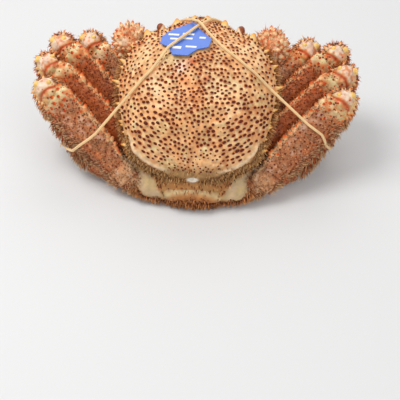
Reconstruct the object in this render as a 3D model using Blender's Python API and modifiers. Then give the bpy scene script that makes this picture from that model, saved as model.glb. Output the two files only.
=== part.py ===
"""A boiled horsehair crab at life size, resting belly down with its legs folded and banded.

World axes: +Z up, floor at z = 0, the crab faces +Y and its left side is at -X.
Body axes: (side, ahead, above), from the middle of the shell's rim, tilted nose up.
All sizes and places are in millimetres, and a mesh is brought to metres when it is made.
"""

import math
import random

import bmesh
import bpy
import numpy as np
from mathutils import Matrix, Vector
from mathutils.bvhtree import BVHTree

MM = 0.001
FIT_GAP = 0.35
SIDES = {"left": -1, "right": 1}

BODY_TILT = math.radians(34)
BODY_HEIGHT = 66
BODY_MATRIX = Matrix.Translation((0, 0, BODY_HEIGHT)) @ Matrix.Rotation(BODY_TILT, 4, "X")

SHELL_CENTRE = 5
CROWN_HEIGHT = 24
SHELL_BELLY = -19
SHELL_AROUND = 40
# Half of the shell's outline, from the brow to the rear edge: (side, ahead).
SHELL_OUTLINE = [
    (0, 74.5), (8, 73.5), (14, 70), (20, 68), (28, 62.5), (38, 60), (46.5, 53.5), (54.5, 43.5),
    (60, 31), (62.3, 17), (61.3, 3), (58.7, -10), (56, -22), (52.7, -34), (48.5, -43), (39, -50),
    (27, -55.5), (14, -59.5), (0, -60.5),
]
# How far out the rings of the shell's top run, from the crown at 0 to the rim at 1.
SHELL_TOP_RINGS = (0.16, 0.32, 0.48, 0.62, 0.75, 0.86, 0.94, 1.0)
# The rolled edge under the rim: (how far out, how far below the rim).
SHELL_UNDER_RINGS = ((0.985, -2.2), (0.90, -8.0))
SHELL_BELLY_RING = 0.74
# Swellings and furrows of the shell, on both sides: (side, ahead, radius, height).
SHELL_RELIEF = [
    (0, 30, 13, 2.2), (17, 36, 11, 1.6), (0, -16, 11, 2.4), (0, -40, 10, 1.2),
    (34, -14, 18, 2.6), (38, 20, 12, 1.8), (16, 8, 7, -2.2), (27, 14, 7, -1.6),
    (13, -14, 6, -1.8), (14, -30, 7, -1.4), (0, 8, 6, -1.0),
]
# Teeth of the brow and of the side margins: (side, ahead, length).
BROW_TEETH = [(5, 74, 3.0), (18.5, 68.5, 5.0), (41, 58, 5.0)]
MARGIN_TEETH = [
    (52.3, 46.5, 4.0), (59, 34, 4.5), (62, 16.5, 6.5), (60.6, -1, 3.5),
    (57.6, -15, 3.0), (52.8, -33.5, 4.5),
]
TOOTH_SINK = 2.5
KNOB_RINGS = (0.14, 0.30, 0.46, 0.61, 0.75, 0.88)
KNOB_HEIGHT = 1.7
KNOB_RADIUS = 1.35
KNOB_LEAN = 0.35

# Rings of the body under the shell, in body axes: (ahead, half width, top, bottom).
THORAX_RINGS = [
    (-73, 30, -19, -28), (-68, 43, -15, -31), (-56, 47, -10, -34.5), (-28, 45, -10, -37),
    (0, 44, -10, -38), (25, 40, -10, -37), (45, 32, -12, -33), (57, 24, -13, -26), (65, 13, -14, -19),
]

# Joints of the legs, laid out on the right side: hips and knees in body axes.
HIPS = {2: (36, -6, -33), 3: (40, -21, -29), 4: (42, -40, -24), 5: (51.5, -59.5, -22)}
KNEES = {2: (84, 51.5, -20), 3: (106, 47, -14), 4: (116, 29, -8), 5: (116, 7.5, -2)}
# Wrist, toe and tip of each leg, in world axes.
LOWER_JOINTS = {
    2: ((86, 69, 57), (60, 64, 9), (17, 49, 0.5)),
    3: ((111, 61, 59), (89, 51, 8.5), (45, 37, 0.6)),
    4: ((121, 36, 52), (104, 24, 8), (59, 9, 0.8)),
    5: ((113, 3.5, 44), (86, -19, 14), (46, -34, 0.1)),
}
# The two sides don't lie quite alike: how far each knee and what hangs from it is moved out.
KNEE_SHIFT = {
    "left": {2: 3, 3: 3, 4: 1.5, 5: 1},
    "right": {2: 0, 3: 0, 4: -3.5, 5: -3.5},
}
MERUS_WIDTH = {2: 21, 3: 23, 4: 24, 5: 26}
MERUS_NECK = {2: 13, 3: 13.5, 4: 14.5, 5: 21}
MERUS_ROLL = math.radians(26)
MERUS_THICKNESS = 10.5
# How far the round knee stands out past the joint, along the upper segment and along the lower.
KNEE_OUT = 3.0
KNEE_BACK = 7.5
# Sections of a limb: (place along it, half width, half thickness).
CARPUS_SECTIONS = [(0, 8.5, 7.5), (0.22, 10.8, 9.2), (0.45, 10.4, 8.8), (0.75, 8.6, 6.8), (1, 6.8, 5.2)]
PROPODUS_SECTIONS = [(0, 6.0, 4.6), (0.25, 7.2, 5.2), (0.6, 6.8, 5.0), (1, 4.8, 4.0)]
DACTYL_SECTIONS = [(0, 4.4, 3.8), (0.3, 4.0, 3.6), (0.7, 2.9, 2.7), (1, 1.0, 1.0)]
SPINE_HEIGHT = 2.5
SPINE_RADIUS = 1.3
SPINE_SINK = 1.0
SPINE_LEAN = 0.5

# Joints of the right claw, in world axes.
CLAW_HIP = (31, 37, 48)
CLAW_ELBOW = (54, 45, 76)
CLAW_CARPUS_FOOT = (58.5, 42, 80.5)
CLAW_WRIST = (55.5, 67.5, 85)
CLAW_PALM_FOOT = (48, 66, 71)
CLAW_KNUCKLE = (22, 79, 51)
CLAW_TIP = (3, 76, 36)
CLAW_FACING = (0.5, 0.85, 0.15)
CLAW_ARM_SECTIONS = [(0, 8, 6), (0.3, 9.5, 7), (0.7, 11, 8), (1, 9, 7)]
CLAW_CARPUS_SECTIONS = [(0, 10, 9.5), (0.3, 13.2, 12.2), (0.7, 13.2, 12), (1, 9.5, 8.5)]
CLAW_PALM_SECTIONS = [(0, 7, 6.5), (0.2, 10, 8), (0.55, 12.5, 9), (0.85, 12, 8.3), (1, 10, 7)]
FIXED_FINGER_SECTIONS = [(0, 5.5, 5), (0.4, 4.4, 4), (0.8, 2.8, 2.8), (1, 1.2, 1.2)]
MOVING_FINGER_SECTIONS = [(0, 5.2, 4.6), (0.4, 4.2, 3.9), (0.8, 2.6, 2.6), (1, 1.1, 1.1)]
FIXED_FINGER_OFFSET = -5.5
FIXED_FINGER_ROOT = -5
MOVING_FINGER_OFFSET = 5.0
MOVING_FINGER_ROOT = 1.5

# The tail's two broad rear segments and its flap folded under the body, in body axes.
UPPER_SEGMENT = ((-24, -67.5, -19), (24, -67.5, -19))
UPPER_SEGMENT_SECTIONS = [(0, 5, 4.5), (0.25, 7, 5.6), (0.5, 7.6, 6), (0.75, 7, 5.6), (1, 5, 4.5)]
LOWER_SEGMENT = ((-23, -66.5, -28.5), (23, -66.5, -28.5))
LOWER_SEGMENT_SECTIONS = [(0, 6, 6), (0.25, 8.6, 7.6), (0.5, 9.4, 8), (0.75, 8.6, 7.6), (1, 6, 6)]
TAIL_FLAP = ((0, -62, -35), (0, 8, -38.5))
TAIL_FLAP_SECTIONS = [(0, 19, 4), (0.2, 18, 4), (0.5, 12, 3.8), (0.8, 8, 3.4), (1, 4, 2.6)]

# The right side's small parts of the face, in body axes.
MAXILLIPED = ((7.5, 34, -36), (7.5, 62, -24))
MAXILLIPED_SECTIONS = [(0, 5, 3), (0.3, 6.4, 3.4), (0.7, 6.4, 3.4), (1, 5, 2.6)]
EYE_STALK = ((29, 57, -10), (33.5, 69, -8.5))
EYE_SECTIONS = [(0, 3.0, 3.0), (0.5, 3.2, 3.2), (0.8, 3.4, 3.3), (1, 2.9, 2.8)]
ANTENNA = ((12, 56, -19.5), (17, 74, -22))
ANTENNA_SECTIONS = [(0, 2.4, 2.2), (0.4, 2.0, 1.8), (0.6, 1.2, 1.2), (1, 0.7, 0.7)]

BAND_RADIUS = 1.1
BAND_CLEARANCE = BAND_RADIUS + FIT_GAP + 0.55
BAND_LANE = 4.6
BAND_STEPS = 9
BAND_TURNS = 60
BAND_PULL = 0.5
BAND_HOLD_PULL = 0.04
BAND_SLACK = 0.12
# Where the band is held, in world axes, from the crossing on the shell round the left legs,
# back over the shell, and round the right legs.
BAND_HOLDS = [
    (0, 46, 109), (-12.5, 62, 102.5), (-18, 71, 95), (-37, 85, 62), (-79, 75, 30), (-106, 63, 26),
    (-121, 30, 24), (-104, -16, 26), (-96, -27, 36), (-91, -28.5, 43), (-79, -24, 49), (-49.5, -2.5, 78),
    (-34, 4.5, 94.5), (-23, 17.5, 107), (0, 45, 109), (9.5, 64, 102.5), (18, 71, 95), (37, 85, 62),
    (77, 74, 30), (103, 62, 26), (116, 30, 24), (106, -9, 32), (102, -12, 42), (99, -12, 52),
    (90, -12, 58), (55.6, 8, 79), (38.4, 12, 94.5), (19.5, 22.3, 105),
]
BAND_CROSSING = (0, 45)
BAND_CROSSING_REACH = 9
BAND_CROSSING_GAP = 0.6

# The tag lies almost level on the shell's brow: (height at the middle, slope aside, slope ahead).
TAG_PLANE = (104.9, 0.075, 0.03)
TAG_THICKNESS = 0.9
TAG_MARGIN = 4
# Its neck bends down over the brow from here on.
TAG_NECK_START = 44
TAG_NECK_SLOPE = 0.2
TAG_OUTLINE = [
    (-12.6, 49.7), (-9.6, 52.2), (-5.9, 55.3), (-1.2, 51.5), (-1.0, 45.5), (0.4, 42.7), (10.5, 29.6),
    (9.3, 23.5), (8.0, 19.9), (0.1, 17.8), (-6.6, 10.8), (-18.9, 12.4), (-21.5, 19.8), (-22.9, 22.3),
    (-29.4, 26.3), (-28.3, 35.0), (-24.4, 39.9),
]

# The exact solver takes minutes over this many spines and knobs, and every piece is closed.
SOLVER = "MANIFOLD"
SHARP_ANGLE = math.radians(50)
FLOOR_SLAB = (0.5, 0.5, 0.1)

# Each material's colour, in linear light, and roughness.
MATERIAL_LOOKS = {
    "shell": ((0.80, 0.50, 0.27), 0.55),
    "leg": ((0.66, 0.33, 0.17), 0.6),
    "underside": ((0.80, 0.66, 0.45), 0.5),
    "claw": ((0.74, 0.36, 0.17), 0.5),
    "finger_tip": ((0.14, 0.08, 0.06), 0.35),
    "eye": ((0.22, 0.17, 0.13), 0.25),
    "band": ((0.93, 0.72, 0.48), 0.5),
    "tag": ((0.13, 0.26, 0.72), 0.35),
}


def body_point(side, ahead, above):
    """A point given in body axes, in world axes."""
    return BODY_MATRIX @ Vector((side, ahead, above))


def body_direction(side, ahead, above):
    return (BODY_MATRIX.to_3x3() @ Vector((side, ahead, above))).normalized()


def mirrored(point, sign):
    return Vector((point[0] * sign, point[1], point[2]))


def smooth_columns(rows, t):
    """The columns of a table after its first, read at t on a smooth curve through its rows."""
    table = np.array(rows, float)
    places = table[:, 0]
    i = int(np.clip(np.searchsorted(places, t, side="right") - 1, 0, len(places) - 2))
    slopes = np.gradient(table[:, 1:], places, axis=0)
    step = places[i + 1] - places[i]
    x = np.clip((t - places[i]) / step, 0, 1)
    start, end = table[i, 1:], table[i + 1, 1:]
    return (
        (2 * x**3 - 3 * x**2 + 1) * start
        + (x**3 - 2 * x**2 + x) * step * slopes[i]
        + (3 * x**2 - 2 * x**3) * end
        + (x**3 - x**2) * step * slopes[i + 1]
    )


def tube_faces(rings, sides):
    """Quads between rings of points and a flat cap on each end."""
    faces = [tuple(range(sides)), tuple(range((rings - 1) * sides, rings * sides))]
    for i in range(rings - 1):
        for k in range(sides):
            low, beside = i * sides + k, i * sides + (k + 1) % sides
            faces.append((low, low + sides, beside + sides, beside))
    return faces


def link(obj):
    bpy.context.scene.collection.objects.link(obj)
    return obj


def new_object(name, points, faces):
    """A mesh object from places in mm, with its faces pointing out."""
    mesh = bpy.data.meshes.new(name)
    mesh.from_pydata([tuple(Vector(p) * MM) for p in points], [], faces)
    made = bmesh.new()
    made.from_mesh(mesh)
    bmesh.ops.recalc_face_normals(made, faces=made.faces)
    bmesh.ops.triangulate(made, faces=[f for f in made.faces if len(f.verts) > 4])
    made.to_mesh(mesh)
    made.free()
    return link(bpy.data.objects.new(name, mesh))


def as_mesh(obj):
    """The object as its modifiers or its curve's bevel leave it, made a plain mesh."""
    graph = bpy.context.evaluated_depsgraph_get()
    mesh = bpy.data.meshes.new_from_object(obj.evaluated_get(graph))
    name = obj.name
    bpy.data.objects.remove(obj)
    return link(bpy.data.objects.new(name, mesh))


class Limb:
    """A closed tube of changing oval section from start to end.

    Its sections are rows (place along it, half width, half thickness), and flat is the
    direction of its thin side. It is laid out on the right side, and sign -1 mirrors it.
    """

    def __init__(self, start, end, flat, sections, rounding=(0.06, 0.06), sign=1):
        self.start = Vector(start)
        self.end = Vector(end)
        self.along = (self.end - self.start).normalized()
        self.length = (self.end - self.start).length
        flat = Vector(flat)
        self.thin = (flat - self.along * flat.dot(self.along)).normalized()
        self.wide = self.thin.cross(self.along)
        self.sections = sections
        self.rounding = rounding
        self.sign = sign

    def end_scale(self, t):
        """How much a section shrinks where the limb rounds off."""
        scale = 1.0
        for edge, reach in zip((t, 1 - t), self.rounding):
            if edge < reach:
                scale *= math.sqrt(max(0.0, 1 - (1 - edge / reach) ** 2)) * 0.6 + 0.4
        return scale

    def point(self, t, angle):
        half_wide, half_thin, *middle = smooth_columns(self.sections, t)
        across = half_wide * self.end_scale(t) * math.cos(angle)
        through = half_thin * self.end_scale(t) * math.sin(angle) + (middle[0] if middle else 0)
        place = self.start + self.along * (self.length * t) + self.wide * across + self.thin * through
        return mirrored(place, self.sign)

    def normal(self, t, angle):
        step = 0.01
        along = self.point(min(t + step, 1), angle) - self.point(max(t - step, 0), angle)
        around = self.point(t, angle + step) - self.point(t, angle - step)
        return around.cross(along).normalized() * self.sign

    def mesh_object(self, name, rings=9, sides=10):
        """Rings crowd towards both ends, where the limb rounds off."""
        points = []
        for i in range(rings):
            t = 0.5 - 0.5 * math.cos(math.pi * i / (rings - 1))
            points += [self.point(t, 2 * math.pi * k / sides) for k in range(sides)]
        return new_object(name, points, tube_faces(rings, sides))


def spike(root, way, length, radius, sides=4, sink=SPINE_SINK):
    """A cone that stands on root and is sunk a little into what it grows from."""
    depth = length + sink
    turn = way.to_track_quat("Z", "Y").to_matrix().to_4x4()
    place = Matrix.Translation(root + way * (length - sink) / 2) @ turn
    made = bmesh.new()
    bmesh.ops.create_cone(
        made, cap_ends=True, segments=sides, radius1=radius * depth / length, radius2=0, depth=depth,
        matrix=Matrix.Scale(MM, 4) @ place,
    )
    mesh = bpy.data.meshes.new("spike")
    made.to_mesh(mesh)
    made.free()
    return link(bpy.data.objects.new("spike", mesh))


def keep_largest_shell(obj):
    """Drops loose scraps and sealed hollows that joining or cutting leaves."""
    made = bmesh.new()
    made.from_mesh(obj.data)
    left = set(made.faces)
    shells = []
    while left:
        queue = [left.pop()]
        shell = set(queue)
        while queue:
            for edge in queue.pop().edges:
                for face in edge.link_faces:
                    if face in left:
                        left.remove(face)
                        shell.add(face)
                        queue.append(face)
        shells.append(shell)
    largest = max(shells, key=lambda s: sum(f.calc_area() for f in s))
    loose = [f for f in made.faces if f not in largest]
    bmesh.ops.delete(made, geom=loose, context="FACES")
    made.to_mesh(obj.data)
    made.free()


def apply_boolean(obj, operation, others):
    """Joins others to obj, or cuts them from it, and removes them."""
    if not others:
        return
    group = bpy.data.collections.new(obj.name + "_pieces")
    bpy.context.scene.collection.children.link(group)
    for other in others:
        other.hide_render = True
        other.display_type = "WIRE"
        group.objects.link(other)
    modifier = obj.modifiers.new(operation.lower(), "BOOLEAN")
    modifier.operation = operation
    modifier.operand_type = "COLLECTION"
    modifier.collection = group
    modifier.solver = SOLVER
    graph = bpy.context.evaluated_depsgraph_get()
    mesh = bpy.data.meshes.new_from_object(obj.evaluated_get(graph))
    obj.modifiers.clear()
    obj.data = mesh
    for other in others:
        bpy.data.objects.remove(other)
    bpy.data.collections.remove(group)
    keep_largest_shell(obj)


def triangulate(obj):
    """Splits every face, so that a cut made with a grown copy has the same folds."""
    made = bmesh.new()
    made.from_mesh(obj.data)
    bmesh.ops.triangulate(made, faces=made.faces)
    made.to_mesh(obj.data)
    made.free()


def grown_copy(obj):
    """A copy of a finished node with every face moved out by the fit gap."""
    copy = link(bpy.data.objects.new("cut", obj.data.copy()))
    made = bmesh.new()
    made.from_mesh(copy.data)
    made.normal_update()
    longest_move = 1.8
    moves = [v.normal * FIT_GAP * MM * min(v.calc_shell_factor(), longest_move) for v in made.verts]
    for vert, move in zip(made.verts, moves):
        vert.co += move
    made.to_mesh(copy.data)
    made.free()
    return copy


def mesh_bounds(obj):
    points = np.array([v.co for v in obj.data.vertices])
    return points.min(axis=0), points.max(axis=0)


def neighbours(obj):
    """Finished nodes whose boxes come within reach of this one's."""
    reach = 2 * FIT_GAP * MM
    low, high = mesh_bounds(obj)
    near = []
    for other in CRAB.objects:
        other_low, other_high = mesh_bounds(other)
        if (low < other_high + reach).all() and (high > other_low - reach).all():
            near.append(other)
    return near


def floor_cutter():
    """A slab just under the floor, which leaves flats where a limb rests."""
    bpy.ops.mesh.primitive_cube_add(size=1, location=(0, 0, -FLOOR_SLAB[2] / 2))
    slab = bpy.context.object
    slab.scale = FLOOR_SLAB
    return slab


def finish_node(obj, name, material, grown=()):
    """Joins what grows on a node, and cuts it clear of the nodes before it and of the floor."""
    obj.name = name
    apply_boolean(obj, "UNION", list(grown))
    cutters = [grown_copy(other) for other in neighbours(obj)]
    if mesh_bounds(obj)[0][2] < 0:
        cutters.append(floor_cutter())
    for cutter in cutters:
        apply_boolean(obj, "DIFFERENCE", [cutter])
    triangulate(obj)
    obj.data.materials.clear()
    obj.data.materials.append(MATERIALS[material])
    obj.data.shade_smooth()
    obj.data.set_sharp_from_angle(angle=SHARP_ANGLE)
    bpy.context.scene.collection.objects.unlink(obj)
    CRAB.objects.link(obj)


def turn_place(turn):
    """Where a turn from 0 to 2 round the shell falls: the place along half the rim, and the side."""
    return (turn, 1) if turn <= 1 else (2 - turn, -1)


def outline_at(q):
    """The shell's rim at q, from 0 at the brow to 1 at the rear: (side, ahead)."""
    last = len(SHELL_OUTLINE) - 1
    return smooth_columns([(i / last, *place) for i, place in enumerate(SHELL_OUTLINE)], q)


def rim_height(ahead):
    """How far above the rim plane the shell's edge runs: it droops fore and aft."""
    fore = max(0.0, (ahead - 30) / 45)
    aft = max(0.0, (-ahead - 20) / 40)
    return -4 - 5 * fore**2 - 9 * aft**2


def shell_top(q, s, sign=1):
    """A point of the shell's upper side, in body axes; s is 0 at the crown and 1 at the rim."""
    side, ahead = outline_at(q)
    u = side * s
    v = SHELL_CENTRE + (ahead - SHELL_CENTRE) * s
    height = rim_height(ahead) * s**2 + CROWN_HEIGHT * (1 - s**2.3) ** 0.72
    for bump_side, bump_ahead, radius, bump in SHELL_RELIEF:
        for place in {bump_side, -bump_side}:
            distance = (u - place) ** 2 + (v - bump_ahead) ** 2
            height += bump * math.exp(-distance / radius**2) * (1 - s**4)
    return Vector((u * sign, v, height))


def shell_under(q, s, above, sign=1):
    side, ahead = outline_at(q)
    return Vector((side * s * sign, SHELL_CENTRE + (ahead - SHELL_CENTRE) * s, above))


def shell_form(name):
    """The shell: its domed top, its rolled rim and its flat underside."""
    places = [turn_place(2 * k / SHELL_AROUND) for k in range(SHELL_AROUND)]
    rings = [[shell_top(q, s, sign) for q, sign in places] for s in SHELL_TOP_RINGS]
    for s, drop in SHELL_UNDER_RINGS:
        rings.append([shell_under(q, s, rim_height(outline_at(q)[1]) + drop, sign) for q, sign in places])
    rings.append([shell_under(q, SHELL_BELLY_RING, SHELL_BELLY, sign) for q, sign in places])
    crown_lift = 0.6
    ends = [(0, SHELL_CENTRE, CROWN_HEIGHT + crown_lift), (0, SHELL_CENTRE, SHELL_BELLY)]
    points = [body_point(*p) for ring in rings for p in ring] + [body_point(*p) for p in ends]
    faces = tube_faces(len(rings), SHELL_AROUND)[2:]
    last = (len(rings) - 1) * SHELL_AROUND
    for k in range(SHELL_AROUND):
        beside = (k + 1) % SHELL_AROUND
        faces.append((len(points) - 2, k, beside))
        faces.append((len(points) - 1, last + beside, last + k))
    return new_object(name, points, faces)


def shell_teeth():
    """The brow's, the orbits' and the side margins' teeth."""
    teeth = []
    for sign in SIDES.values():
        for side, ahead, length in BROW_TEETH:
            root = body_point(side * sign, ahead - 1.5, rim_height(ahead) - 0.4)
            way = body_direction(side * sign * 0.25, 30, 2)
            teeth.append(spike(root, way, length, 3.2, 5, TOOTH_SINK))
        for side, ahead, length in MARGIN_TEETH:
            root = body_point((side - 1.2) * sign, ahead, rim_height(ahead) - 0.2)
            way = body_direction(side * sign, ahead * 0.25 + 14, 8)
            teeth.append(spike(root, way, length, 2.6, 5, TOOTH_SINK))
    return teeth


def shell_normal(q, s, sign):
    """The outward direction of the shell's top, in body axes."""
    step = 0.01
    beside = shell_top(min(q + step, 1), s, sign) - shell_top(max(q - step, 0), s, sign)
    outward = shell_top(q, s + step, sign) - shell_top(q, s - step, sign)
    normal = beside.cross(outward).normalized()
    return normal if normal.z > 0 else -normal


def shell_knobs():
    """Low pointed knobs all over the shell, in staggered rings, leaning ahead."""
    knobs = []
    draw = random.Random(7)
    for ring, middle in enumerate(KNOB_RINGS):
        count = 2 * int(3 + 14 * middle)
        for k in range(count):
            turn = 2 * (k + 0.5 * (ring % 2)) / count + draw.uniform(-0.02, 0.02)
            q, sign = turn_place(turn % 2)
            s = min(0.92, middle + draw.uniform(-0.025, 0.025))
            root = body_point(*shell_top(q, s, sign))
            way = body_direction(*(shell_normal(q, s, sign) + Vector((0, KNOB_LEAN, 0))))
            size = draw.uniform(1.0, 1.35)
            if clear_of_band(root) and not under_tag(root):
                knobs.append(spike(root, way, KNOB_HEIGHT * size, KNOB_RADIUS))
    return knobs


def make_carapace():
    finish_node(shell_form("shell"), "carapace", "shell", shell_teeth() + shell_knobs())


def body_limb(ends, flat, sections, rounding, sign=1):
    """A limb whose ends and flat direction are given in body axes."""
    start, end = ends
    return Limb(body_point(*start), body_point(*end), body_direction(*flat), sections, rounding, sign)


def make_thorax():
    """The body under the shell, from its rear to its mouth."""
    first, last = THORAX_RINGS[0][0], THORAX_RINGS[-1][0]
    sections = [
        ((ahead - first) / (last - first), half, (top - bottom) / 2, (top + bottom) / 2)
        for ahead, half, top, bottom in THORAX_RINGS
    ]
    form = body_limb(((0, first, 0), (0, last, 0)), (0, 0, 1), sections, (0.02, 0.02))
    finish_node(form.mesh_object("thorax", 12, 14), "thorax", "underside")


def make_abdomen():
    """Two broad segments behind the shell, and the flap folded under the body."""
    up = (0, 0, 1)
    upper = body_limb(UPPER_SEGMENT, up, UPPER_SEGMENT_SECTIONS, (0.12, 0.12))
    lower = body_limb(LOWER_SEGMENT, up, LOWER_SEGMENT_SECTIONS, (0.12, 0.12))
    flap = body_limb(TAIL_FLAP, up, TAIL_FLAP_SECTIONS, (0.03, 0.1))
    grown = [lower.mesh_object("segment", 8, 12), flap.mesh_object("flap", 8, 10)]
    finish_node(upper.mesh_object("segment", 8, 10), "abdomen", "underside", grown)


def spine(limb, t, angle, size, radius, lean):
    """A spine on a limb, leaning towards its far end, or nothing in the band's lane."""
    root = limb.point(t, angle)
    way = (limb.normal(t, angle) + mirrored(limb.along, limb.sign) * lean).normalized()
    return [spike(root, way, size, radius)] if clear_of_band(root) else []


def spine_row(limb, angle, places, draw):
    """A row of spines along one edge of a limb."""
    spines = []
    for t in places:
        size = SPINE_HEIGHT * draw.uniform(0.85, 1.15)
        spines += spine(limb, t, angle + draw.uniform(-0.25, 0.25), size, SPINE_RADIUS, SPINE_LEAN)
    return spines


def spine_field(limb, rings, around, places, size, radius, draw):
    """Short spines all round a limb, in staggered rings."""
    spines = []
    for i, t in enumerate(np.linspace(*places, rings)):
        for k in range(around):
            angle = 2 * math.pi * (k + 0.5 * (i % 2)) / around + draw.uniform(-0.15, 0.15)
            spines += spine(limb, t, angle, size * draw.uniform(0.85, 1.2), radius, 0.3)
    return spines


def leg_limbs(number, side):
    """The merus, carpus, propodus and dactyl of one leg."""
    out = Vector((KNEE_SHIFT[side][number], 0, 0))
    sign = SIDES[side]
    hip = body_point(*HIPS[number])
    knee = body_point(*KNEES[number]) + out
    wrist, toe, tip = (Vector(joint) + out for joint in LOWER_JOINTS[number])
    lift = body_direction(0, 0, 1)
    inward = lift.cross((knee - hip).normalized())
    half, thick, neck = MERUS_WIDTH[number] / 2, MERUS_THICKNESS / 2, MERUS_NECK[number] / 2
    sections = [
        (0, neck * 0.9, 5.2), (0.10, neck, 5.0), (0.17, neck * 0.94, 4.4),
        (0.25, half * 0.86, thick * 0.94), (0.42, half * 0.98, thick), (0.62, half, thick),
        (0.82, half * 0.97, thick * 1.03), (0.94, half * 0.9, thick * 1.1), (1, half * 0.8, thick * 1.1),
    ]
    flat = lift * math.cos(MERUS_ROLL) - inward * math.sin(MERUS_ROLL)
    merus = Limb(hip, knee, flat, sections, (0.03, 0.07), sign)
    fold = (knee - wrist).cross(toe - wrist).normalized()
    fold = fold if fold.dot(merus.thin) > 0 else -fold
    top = knee + merus.along * KNEE_OUT
    top = top + (top - wrist).normalized() * KNEE_BACK
    carpus = Limb(top, wrist, fold + merus.thin * 0.5, CARPUS_SECTIONS, (0.24, 0.14), sign)
    propodus = Limb(wrist, toe, fold, PROPODUS_SECTIONS, (0.10, 0.08), sign)
    dactyl = Limb(toe, tip, fold, DACTYL_SECTIONS, (0.06, 0.05), sign)
    return merus, carpus, propodus, dactyl


def make_leg(number, side):
    draw = random.Random(10 * number + SIDES[side])
    stem = f"leg_{number}_{side}_"
    merus, carpus, propodus, dactyl = leg_limbs(number, side)
    inner, outer = 0, math.pi
    spines = spine_row(merus, inner, np.linspace(0.3, 0.88, 5), draw)
    finish_node(merus.mesh_object("merus", 9, 9), stem + "merus", "leg", spines)
    spines = spine_row(carpus, inner, (0.35, 0.65), draw) + spine_row(carpus, outer, (0.25, 0.5, 0.75), draw)
    finish_node(carpus.mesh_object("carpus", 8, 9), stem + "carpus", "leg", spines)
    spines = spine_row(propodus, inner, (0.2, 0.45, 0.7), draw)
    finish_node(propodus.mesh_object("propodus", 6, 8), stem + "propodus", "leg", spines)
    finish_node(dactyl.mesh_object("dactyl", 6, 7), stem + "dactyl", "leg")


def claw_limbs(side):
    """The arm, the round wrist, the palm, and the fixed and the moving finger of a claw."""
    sign = SIDES[side]
    arm = Limb(CLAW_HIP, CLAW_ELBOW, CLAW_FACING, CLAW_ARM_SECTIONS, (0.08, 0.1), sign)
    carpus = Limb(CLAW_CARPUS_FOOT, CLAW_WRIST, CLAW_FACING, CLAW_CARPUS_SECTIONS, (0.3, 0.25), sign)
    palm = Limb(CLAW_PALM_FOOT, CLAW_KNUCKLE, CLAW_FACING, CLAW_PALM_SECTIONS, (0.12, 0.08), sign)
    up = palm.wide if palm.wide.z > 0 else -palm.wide
    low, high = up * FIXED_FINGER_OFFSET, up * MOVING_FINGER_OFFSET
    fixed = Limb(
        palm.end + low + palm.along * FIXED_FINGER_ROOT, Vector(CLAW_TIP) + low * 0.2,
        CLAW_FACING, FIXED_FINGER_SECTIONS, (0.04, 0.05), sign,
    )
    moving = Limb(
        palm.end + high + palm.along * MOVING_FINGER_ROOT, Vector(CLAW_TIP) + high * 0.55,
        CLAW_FACING, MOVING_FINGER_SECTIONS, (0.08, 0.05), sign,
    )
    return arm, carpus, palm, fixed, moving


def make_claw(side):
    draw = random.Random(100 + SIDES[side])
    stem = f"claw_{side}_"
    arm, carpus, palm, fixed, moving = claw_limbs(side)
    finish_node(arm.mesh_object("arm", 7, 9), stem + "arm", "claw")
    spines = spine_field(carpus, 4, 6, (0.2, 0.82), 2.4, 1.5, draw)
    finish_node(carpus.mesh_object("carpus", 8, 12), stem + "carpus", "claw", spines)
    spines = spine_field(palm, 3, 6, (0.3, 0.85), 1.9, 1.3, draw)
    finger = fixed.mesh_object("finger", 6, 8)
    finish_node(palm.mesh_object("palm", 8, 11), stem + "palm", "claw", [finger] + spines)
    finish_node(moving.mesh_object("finger", 6, 8), stem + "finger", "finger_tip")


def make_face(side):
    """The stalked eye, the feeler and the broad mouth plate of one side."""
    sign = SIDES[side]
    stalk = body_limb(EYE_STALK, (0, 0, 1), EYE_SECTIONS, (0.1, 0.3), sign)
    finish_node(stalk.mesh_object("eye", 7, 9), f"eye_{side}", "eye")
    feeler = body_limb(ANTENNA, (0, 0, 1), ANTENNA_SECTIONS, (0.05, 0.05), sign)
    finish_node(feeler.mesh_object("antenna", 6, 6), f"antenna_{side}", "leg")
    plate = body_limb(MAXILLIPED, (0, 0.4, 1), MAXILLIPED_SECTIONS, (0.1, 0.1), sign)
    finish_node(plate.mesh_object("maxilliped", 7, 10), f"maxilliped_{side}", "underside")


def tag_point(side, ahead):
    """A point of the tag's lower face, whose neck bends down over the shell's brow."""
    height, slope_aside, slope_ahead = TAG_PLANE
    bend = TAG_NECK_SLOPE * max(0, ahead - TAG_NECK_START)
    return Vector((side, ahead, height + slope_aside * side + slope_ahead * ahead - bend))


def tag_form():
    """The flat plate that lies on the shell under the band."""
    plate = new_object("tag", [tag_point(*p) for p in TAG_OUTLINE], [tuple(range(len(TAG_OUTLINE)))])
    if plate.data.polygons[0].normal.z < 0:
        plate.data.flip_normals()
    thickness = plate.modifiers.new("thickness", "SOLIDIFY")
    thickness.thickness = TAG_THICKNESS * MM
    thickness.offset = 1
    return as_mesh(plate)


def under_tag(point):
    """Whether a point of the shell lies beneath the tag, or just beside it."""
    inside = False
    x, y = point.x, point.y
    for (x0, y0), (x1, y1) in zip(TAG_OUTLINE, TAG_OUTLINE[1:] + TAG_OUTLINE[:1]):
        if math.hypot(x0 - x, y0 - y) < TAG_MARGIN:
            return True
        if (y0 > y) != (y1 > y) and x < x0 + (y - y0) / (y1 - y0) * (x1 - x0):
            inside = not inside
    return inside


def search_tree(form):
    """The form's faces in mm, for finding the nearest; the form is removed."""
    points = [v.co / MM for v in form.data.vertices]
    tree = BVHTree.FromPolygons(points, [tuple(p.vertices) for p in form.data.polygons])
    bpy.data.objects.remove(form)
    return tree


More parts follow.
